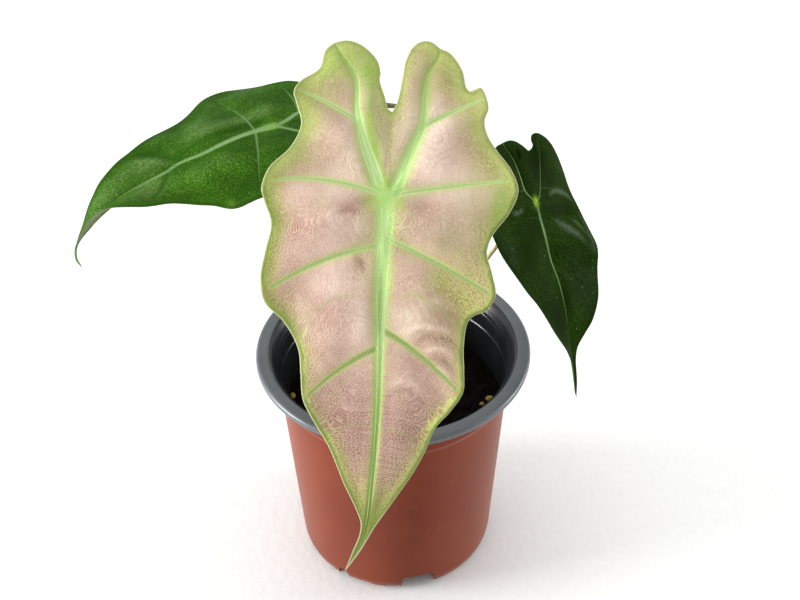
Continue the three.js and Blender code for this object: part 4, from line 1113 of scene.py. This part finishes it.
pink_blade = leaf_material("pink_blade", {
    "streaky": 0.45,
    "dotted": 0.7,
    "base": ((174, 138, 124), (200, 170, 151)),
    "mottle": ((212, 186, 170), 0.35),
    "painted_shade": ((150, 108, 98), 0.9),
    "painted_highlight": ((236, 214, 199), 0.85),
    "edge": ((156, 138, 76), 0.85),
    "fine": ((226, 206, 186), 0.5),
    "coarse": ((182, 194, 102), 0.75),
    "flank": ((176, 192, 104), 0.7),
    "green": ((134, 172, 58), 0.95),
    "margin": ((112, 132, 52), 0.85),
    "side": ((176, 200, 134), 0.85),
    "low": ((116, 132, 54), 0.6),
    "spine": ((164, 202, 116), 0.9),
    "ridge": ((214, 234, 180), 0.65),
    "far": ((126, 148, 70), 0.85),
    # Painted shade: a darker line down the middle of the veins.
    "core": ((128, 154, 78), 0.45),
    "olive": ((146, 128, 66), 0.75),
    "rim": ((206, 194, 168), 0.7),
    "speck": ((240, 232, 220), 0.3),
    "below": ((150, 160, 122), 0.9),
}, 0.48, 0.25, 900.0)
front_leaf = new_blade("front_leaf_blade", FRONT_LEAF, [pink_blade])
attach(front_leaf, "root")
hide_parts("front_leaf")


# Left leaf.  Mid green with pale veins; it reaches out to the left and back, droops at both sides
# of its outer half and ends in a hair tip.
LEFT_LEAF = {
    "seat": (-44.7, 12, 217.9),
    "heading": 206,
    "slope": [(-66, -30), (-50, -15), (-38, 0), (0, -3), (28, 12), (62, 19), (95, 55), (107, 62)],
    "roll": [(-60, -4), (0, -2.5), (95, 0)],
    "folds": (
        [(-62, -40), (-47, -36), (-33, -10), (-22, 2), (0, 0), (33, 0), (76, 18), (98, 0)],
        [(-60, 0), (-33, 0), (0, 1), (33, -7), (58, 0), (76, 42), (90, 38), (98, 0)],
    ),
    "arches": (0.0021, 0.0035),
    "puff": 1.3,
    "wave": 0.4,
    "midrib": [
        (0, 0), (-0.4, 8.6), (0.5, 23), (0.7, 32), (-0.4, 42), (0.5, 48), (0.4, 64), (0, 80), (0.1, 89),
        (1.7, 94), (5.1, 96.8), (10.2, 96.6), (14, 95.6),
    ],
    "sinus": (0, -21),
    "right": {
        "outer": [
            (14, 95.6), (10, 97.1), (4.8, 97.6), (0.7, 94.8), (-1.4, 90.5), (-3.2, 86), (-6.6, 80),
            (-8.7, 76), (-11.2, 72), (-13.5, 67), (-16, 61.4), (-17.7, 56.5), (-22.2, 47),
            (-24.8, 39.7), (-27, 32.4), (-29.4, 27), (-35.5, 18.5), (-37, 12.5), (-37, 7), (-36, 2.8),
            (-34.3, -2), (-32.3, -6), (-31, -11.5), (-29.6, -18), (-27, -23), (-24, -31), (-21, -39),
            (-18, -47), (-15, -54.5), (-12, -60), (-9, -63.5),
        ],
        "inner": [(-9, -63.5), (-6.5, -61), (-6, -54), (-5, -44), (-3.5, -33)],
        "basal": [(0, 0), (-2.6, -6), (-5.7, -12), (-9, -23), (-11, -36), (-11, -50), (-9, -63.5)],
        "veins": [(43, 11.2, 1.5), (8.6, 16.2, 2.5), (-14, 22.2, 1.5)],
    },
    "left": {
        "outer": [
            (14, 95.6), (10.3, 96), (5.4, 96.1), (2.5, 93.2), (2.4, 89.5), (5.2, 85), (8.6, 79.5),
            (11.6, 74), (14, 69.5), (14.8, 64), (15.2, 58.6), (16.5, 53), (19, 48.5), (22.5, 43.5),
            (26, 38.4), (28.5, 36), (30.7, 33.5), (32, 30), (32.4, 26), (33, 21), (34.6, 14), (35.6, 7),
            (35.2, 0), (33.5, -7), (31, -14), (28, -21.5), (24, -28.5), (19.5, -34), (14.5, -37),
        ],
        "inner": [(14.5, -37), (9.5, -36), (6, -31.5), (3, -26)],
        "basal": [(0, 0), (3, -3.5), (6.4, -7.5), (9.6, -17), (12, -27), (14.5, -37)],
        "veins": [(46, 9.6, 1.2), (8.6, 18.8, 1), (-12, 23.8, 1.5)],
    },
    "half_widths": {
        "midrib": [(0, 1.6), (0.1, 1.15), (0.3, 0.75), (0.8, 0.45), (1, 0.15)],
        "basal": [(0, 0.8), (1, 0.3)],
        "side": (0.6, 0.1),
        "side_end": 50,
    },
    "groove": 0.45,
    "wrinkle": 0.12,
    "zones": [
        [(-0.3, 2, 1.8, 3.5, 1.0), (29.5, 33, 3, 2, 0.12)],
        [(0.5, 62, 0.7, 9, 0.6)],
        [
            (-10.5, 10, 3, 10, -0.9), (-10.5, 27, 3.5, 8, -0.8), (-11.7, 0, 4, 4, -0.6),
            (-17, 27, 5, 6, -0.6), (-7, 52, 4, 6, -0.8), (-9, 63, 4, 7, -0.5), (-4, 74, 4, 8, -0.8),
            (7, 58, 4, 8, -0.9), (10, 26, 6, 7, -0.4), (9, 38, 5, 6, -0.35), (3, 52, 3, 6, -0.4),
            (29.3, 32.5, 2.5, 2, -0.8), (-5, 16, 2, 12, 0.9), (-18, 4, 4, 10, 0.4),
            (24, 22, 7, 14, 0.7), (17, 31, 5, 5, 0.5), (4, 28, 1.5, 10, 0.5), (-24, 38, 4, 12, 0.5),
            (-36, 14, 6, 14, 0.8), (-28, 28, 5, 8, 0.6), (8, 2, 5, 14, 0.8), (17, 48, 4, 8, 0.7),
            (0, -10, 3, 6, 0.8), (-20, -4, 6, 8, 0.5), (-14, 70, 3, 8, 0.5),
        ],
    ],
    "strokes": [
        (1, 1.2, 1.0, [(-1.5, 41.5), (-5, 43), (-9.5, 46.5), (-13.5, 51), (-16, 56)]),
        (1, 1.1, 0.9, [(1.2, 46), (4.5, 49), (8, 53), (11, 57.5)]),
        (2, 1.5, -0.7, [(-2, 45), (-6, 48), (-10, 53), (-12.5, 59)]),
    ],
}
green_blade = leaf_material("green_blade", {
    "streaky": 0.7,
    "dotted": 0.35,
    "base": ((27, 69, 0), (40, 86, 1)),
    "mottle": ((112, 150, 58), 0.6),
    "painted_shade": ((22, 58, 0), 0.9),
    "painted_highlight": ((122, 152, 90), 0.68),
    "edge": ((34, 74, 4), 0.3),
    "fine": ((66, 112, 22), 0.35),
    "coarse": ((66, 108, 24), 0.15),
    "flank": ((60, 106, 18), 0.3),
    "green": ((156, 204, 60), 0.95),
    "margin": ((30, 66, 6), 0.6),
    "side": ((120, 154, 100), 0.5),
    "spine": ((120, 158, 96), 0.85),
    "ridge": ((160, 188, 140), 0.7),
    "far": ((58, 102, 24), 0.9),
    "core": ((140, 172, 120), 0.3),
    "olive": ((26, 60, 2), 0.95),
    "rim": ((92, 124, 50), 0.4),
    "speck": ((190, 206, 170), 0.3),
    "below": ((116, 128, 88), 0.9),
}, 0.34, 0.03, 1500.0)
left_leaf = new_blade("left_leaf_blade", LEFT_LEAF, [green_blade])
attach(left_leaf, "root")
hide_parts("left_leaf")


# Right leaf.  Small and very dark green, with pale ragged veins; it hangs steeply beside the pot,
# rolled to one side, with its two halves a little folded.
RIGHT_LEAF = {
    "seat": (60.3, 8, 181.2),
    "heading": -61,
    "slope": [(-60, 40), (-40, 42), (0, 61), (27, 54), (58, 71), (89, 79), (100, 80)],
    "roll": [(-60, -18), (0, -19), (89, -21)],
    "folds": (
        [(-60, 14), (-31, 13), (0, -5), (31, 10), (71, 30), (100, 30)],
        [(-60, 4), (-31, 3), (0, -9), (31, 12), (71, 16), (100, 16)],
    ),
    "arches": (0.0014, 0.001),
    "puff": 1.5,
    "wave": 0.6,
    "midrib": [(0, 0), (0.3, 13), (-0.6, 25), (0.2, 33), (0, 47), (-0.4, 62), (0, 75), (0.3, 88.5)],
    "sinus": (3.6, -21.6),
    "right": {
        "outer": [
            (0.3, 88.5), (-0.8, 81), (-1.3, 75), (-2.6, 70), (-4.7, 66.8), (-8.6, 61), (-16.5, 50.2),
            (-21.7, 37.5), (-25, 30.5), (-26, 17), (-27.3, 6.2), (-28, -3), (-26.8, -12), (-23, -21),
            (-17.2, -26.5), (-12, -27.5),
        ],
        "inner": [(-12, -27.5), (-8.8, -27.8), (-5, -27.6), (-1, -26.1), (1.9, -23.6)],
        "basal": [(0, 0), (-4.6, -6.6), (-5.6, -13), (-7.4, -20), (-12, -27.5)],
        "veins": [(25.5, 8, 1), (6.5, 10.1, 2.4), (-8, 11.9, 1)],
    },
    "left": {
        "outer": [
            (0.3, 88.5), (1.2, 81), (1.4, 75), (1.7, 70), (3.3, 65), (7.8, 60.5), (12.7, 56),
            (18.2, 46.3), (22.4, 33.5), (26, 26), (27.4, 21), (28, 13.5), (28, 6), (27.2, -4.5),
            (24.8, -11.5), (21.6, -17.5), (18.8, -21.7), (15.8, -25), (12.8, -27.3),
        ],
        "inner": [(12.8, -27.3), (10.4, -27.9), (8.2, -27.3), (7.2, -25.4), (7.4, -23.4), (5.8, -22)],
        "basal": [(0, 0), (3.4, -2.2), (5.8, -6), (7.8, -11), (9.4, -16), (11, -21.6), (12.8, -27.3)],
        "veins": [(25.5, 6.7, 2.5), (6.5, 8.4, 3), (-7.5, 11.9, 2)],
    },
    "half_widths": {
        "midrib": [(0, 0.6), (0.12, 0.65), (0.3, 0.36), (0.6, 0.26), (1, 0.1)],
        "basal": [(0, 0.34), (1, 0.12)],
        "side": (0.3, 0.08),
        "side_end": 60,
    },
    "groove": 0.35,
    "wrinkle": 0.12,
    "zones": [
        [(-0.3, -0.6, 1.3, 2, 1.0)],
        [(0.2, 70, 2, 20, 0.8)],
        [
            (-4.4, -21.8, 1.2, 2.2, 2.2), (-14, 38, 8, 14, 0.6), (-9, 56, 6, 10, 0.5),
            (10, 6, 8, 5, 0.7), (20, 8, 6, 4, 0.6), (18, 24, 5, 5, 0.4), (-10, -8, 6, 5, 0.3),
            (6, -14, 8, 8, 0.5), (-23, 16, 5, 10, -0.2), (12, 40, 8, 12, -0.12),
        ],
    ],
    "strokes": [
        (2, 1.2, -0.9, [(10, -0.8), (15, -1), (20, 0.8), (24, 3.6), (26.8, 8)]),
        (2, 1.1, -0.9, [(26.8, 12), (26.7, 17.5), (25.2, 23), (23, 28.5)]),
        (2, 1.5, -0.85, [(4, 6.5), (8, 9), (12, 12.6), (15.6, 16), (19, 20), (21.5, 26)]),
        (2, 1.0, -0.5, [(14, 9.4), (19, 12.4), (22.6, 17), (24, 22)]),
        (2, 1.0, -0.9, [(-14.5, -0.2), (-12, 0.6), (-9.5, -0.2)]),
    ],
}
dark_blade = leaf_material("dark_blade", {
    "streaky": 0.6,
    "dotted": 0.6,
    "base": ((14, 31, 0), (22, 43, 2)),
    "mottle": ((58, 80, 34), 0.55),
    "painted_shade": ((6, 10, 2), 0.95),
    "painted_highlight": ((112, 126, 108), 0.7),
    "edge": ((18, 36, 4), 0.2),
    "fine": ((36, 58, 14), 0.35),
    "coarse": ((36, 56, 14), 0.1),
    "flank": ((30, 52, 10), 0.3),
    "green": ((160, 200, 40), 0.95),
    "margin": ((20, 38, 8), 0.5),
    "side": ((64, 88, 52), 0.25),
    "spine": ((92, 120, 68), 0.75),
    "ridge": ((150, 172, 130), 0.6),
    "far": ((46, 74, 26), 0.85),
    "core": ((120, 146, 104), 0.2),
    "olive": ((30, 52, 12), 0.6),
    "rim": ((50, 70, 32), 0.5),
    "speck": ((150, 168, 130), 0.6),
    "below": ((96, 116, 84), 0.9),
}, 0.3, 0.004, 1500.0)
right_leaf = new_blade("right_leaf_blade", RIGHT_LEAF, [dark_blade])
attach(right_leaf, "root")
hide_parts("right_leaf")


# Leaf stalks.  Round and fleshy, tan mottled with olive; each grows out of the mix, widens into a
# sheathing foot and turns square to its blade under the seat, where it is grown on.
STALK_FOOT_Z = 62.0
STALK_FOOT_RADIUS = 3.0
STALK_SIDES = 28
STALK_RINGS = 260
STALK_TOP = SHEET + MIDRIB_RIB + 0.35
STALKS = {
    "front_petiole": {
        "leaf": FRONT_LEAF,
        "top_radius": 1.2,
        "path": [(-1, -5, 62), (-1, -5, 84), (-0.5, -3, 122), (-0.8, -5, 166), (-1.6, -15, 195)],
    },
    "left_petiole": {
        "leaf": LEFT_LEAF,
        "top_radius": 1.0,
        "path": [(-6.4, 3.2, 62), (-7, 3.6, 84), (-15, 6, 130), (-29, 9.5, 180), (-40, 11.6, 204)],
    },
    "right_petiole": {
        "leaf": RIGHT_LEAF,
        "top_radius": 0.9,
        "path": [(5, 2.4, 62), (5.8, 2.8, 84), (17, 5, 112), (34, 8.5, 141), (50, 13, 165)],
    },
}
stalk_skin, tree, shader = new_material("stalk_skin", 0.42, Specular_IOR_Level=0.45)
place = object_place(tree)
blotches = place.node("Mapping", {"Vector": place, "Scale": (900.0, 900.0, 160.0)}).noise(1.0, 4.0, 0.6)
colour = place.noise(60.0, 2.0).rise(0.3, 0.7).blend(srgb(186, 164, 112), srgb(164, 158, 98))
blotches.rise(0.5, 0.68).blend(colour, srgb(122, 112, 62)).feed(shader.inputs["Base Color"])
bump(shader, blotches, 0.1)
around = np.linspace(0, 2 * math.pi, STALK_SIDES, endpoint=False)
stalk_faces = closed_rings(STALK_RINGS, STALK_SIDES)
for name, stalk in STALKS.items():
    leaf, top_radius = stalk["leaf"], stalk["top_radius"]
    top_end = on_blade(leaf, np.zeros(3), np.zeros(3), -STALK_TOP - np.array([5.0, 2.0, 0.0]))
    listed = np.vstack([stalk["path"], top_end])
    fine = smooth_curve(listed, np.linspace(0, len(listed) - 1, 1200))
    at = along(fine)
    places = np.linspace(0, at[-1], STALK_RINGS)
    centre = np.stack([np.interp(places, at, fine[:, k]) for k in range(3)], -1)
    forward = np.gradient(centre, axis=0)
    forward /= np.linalg.norm(forward, axis=1)[:, None]
    side = np.cross((1.0, 0.0, 0.0), forward)
    side /= np.linalg.norm(side, axis=1)[:, None]
    other = np.cross(forward, side)
    climbed = (centre[:, 2] - STALK_FOOT_Z) / (leaf["seat"][2] - STALK_FOOT_Z)
    radius = top_radius + (STALK_FOOT_RADIUS - top_radius) * np.clip(1 - 1.25 * climbed, 0, None) ** 2
    uneven = 0.985 + 0.03 * lattice_noise(centre[:, 2:] + 50, around * 3 + 20, 2.5, 41)
    out = side[:, None] * np.cos(around)[:, None] + other[:, None] * np.sin(around)[:, None]
    skin = centre[:, None] + (radius[:, None] * uneven)[..., None] * out
    made = new_piece(name + "_stalk", skin.reshape(-1, 3), stalk_faces, [stalk_skin])
    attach(made, "root")
    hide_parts(name)
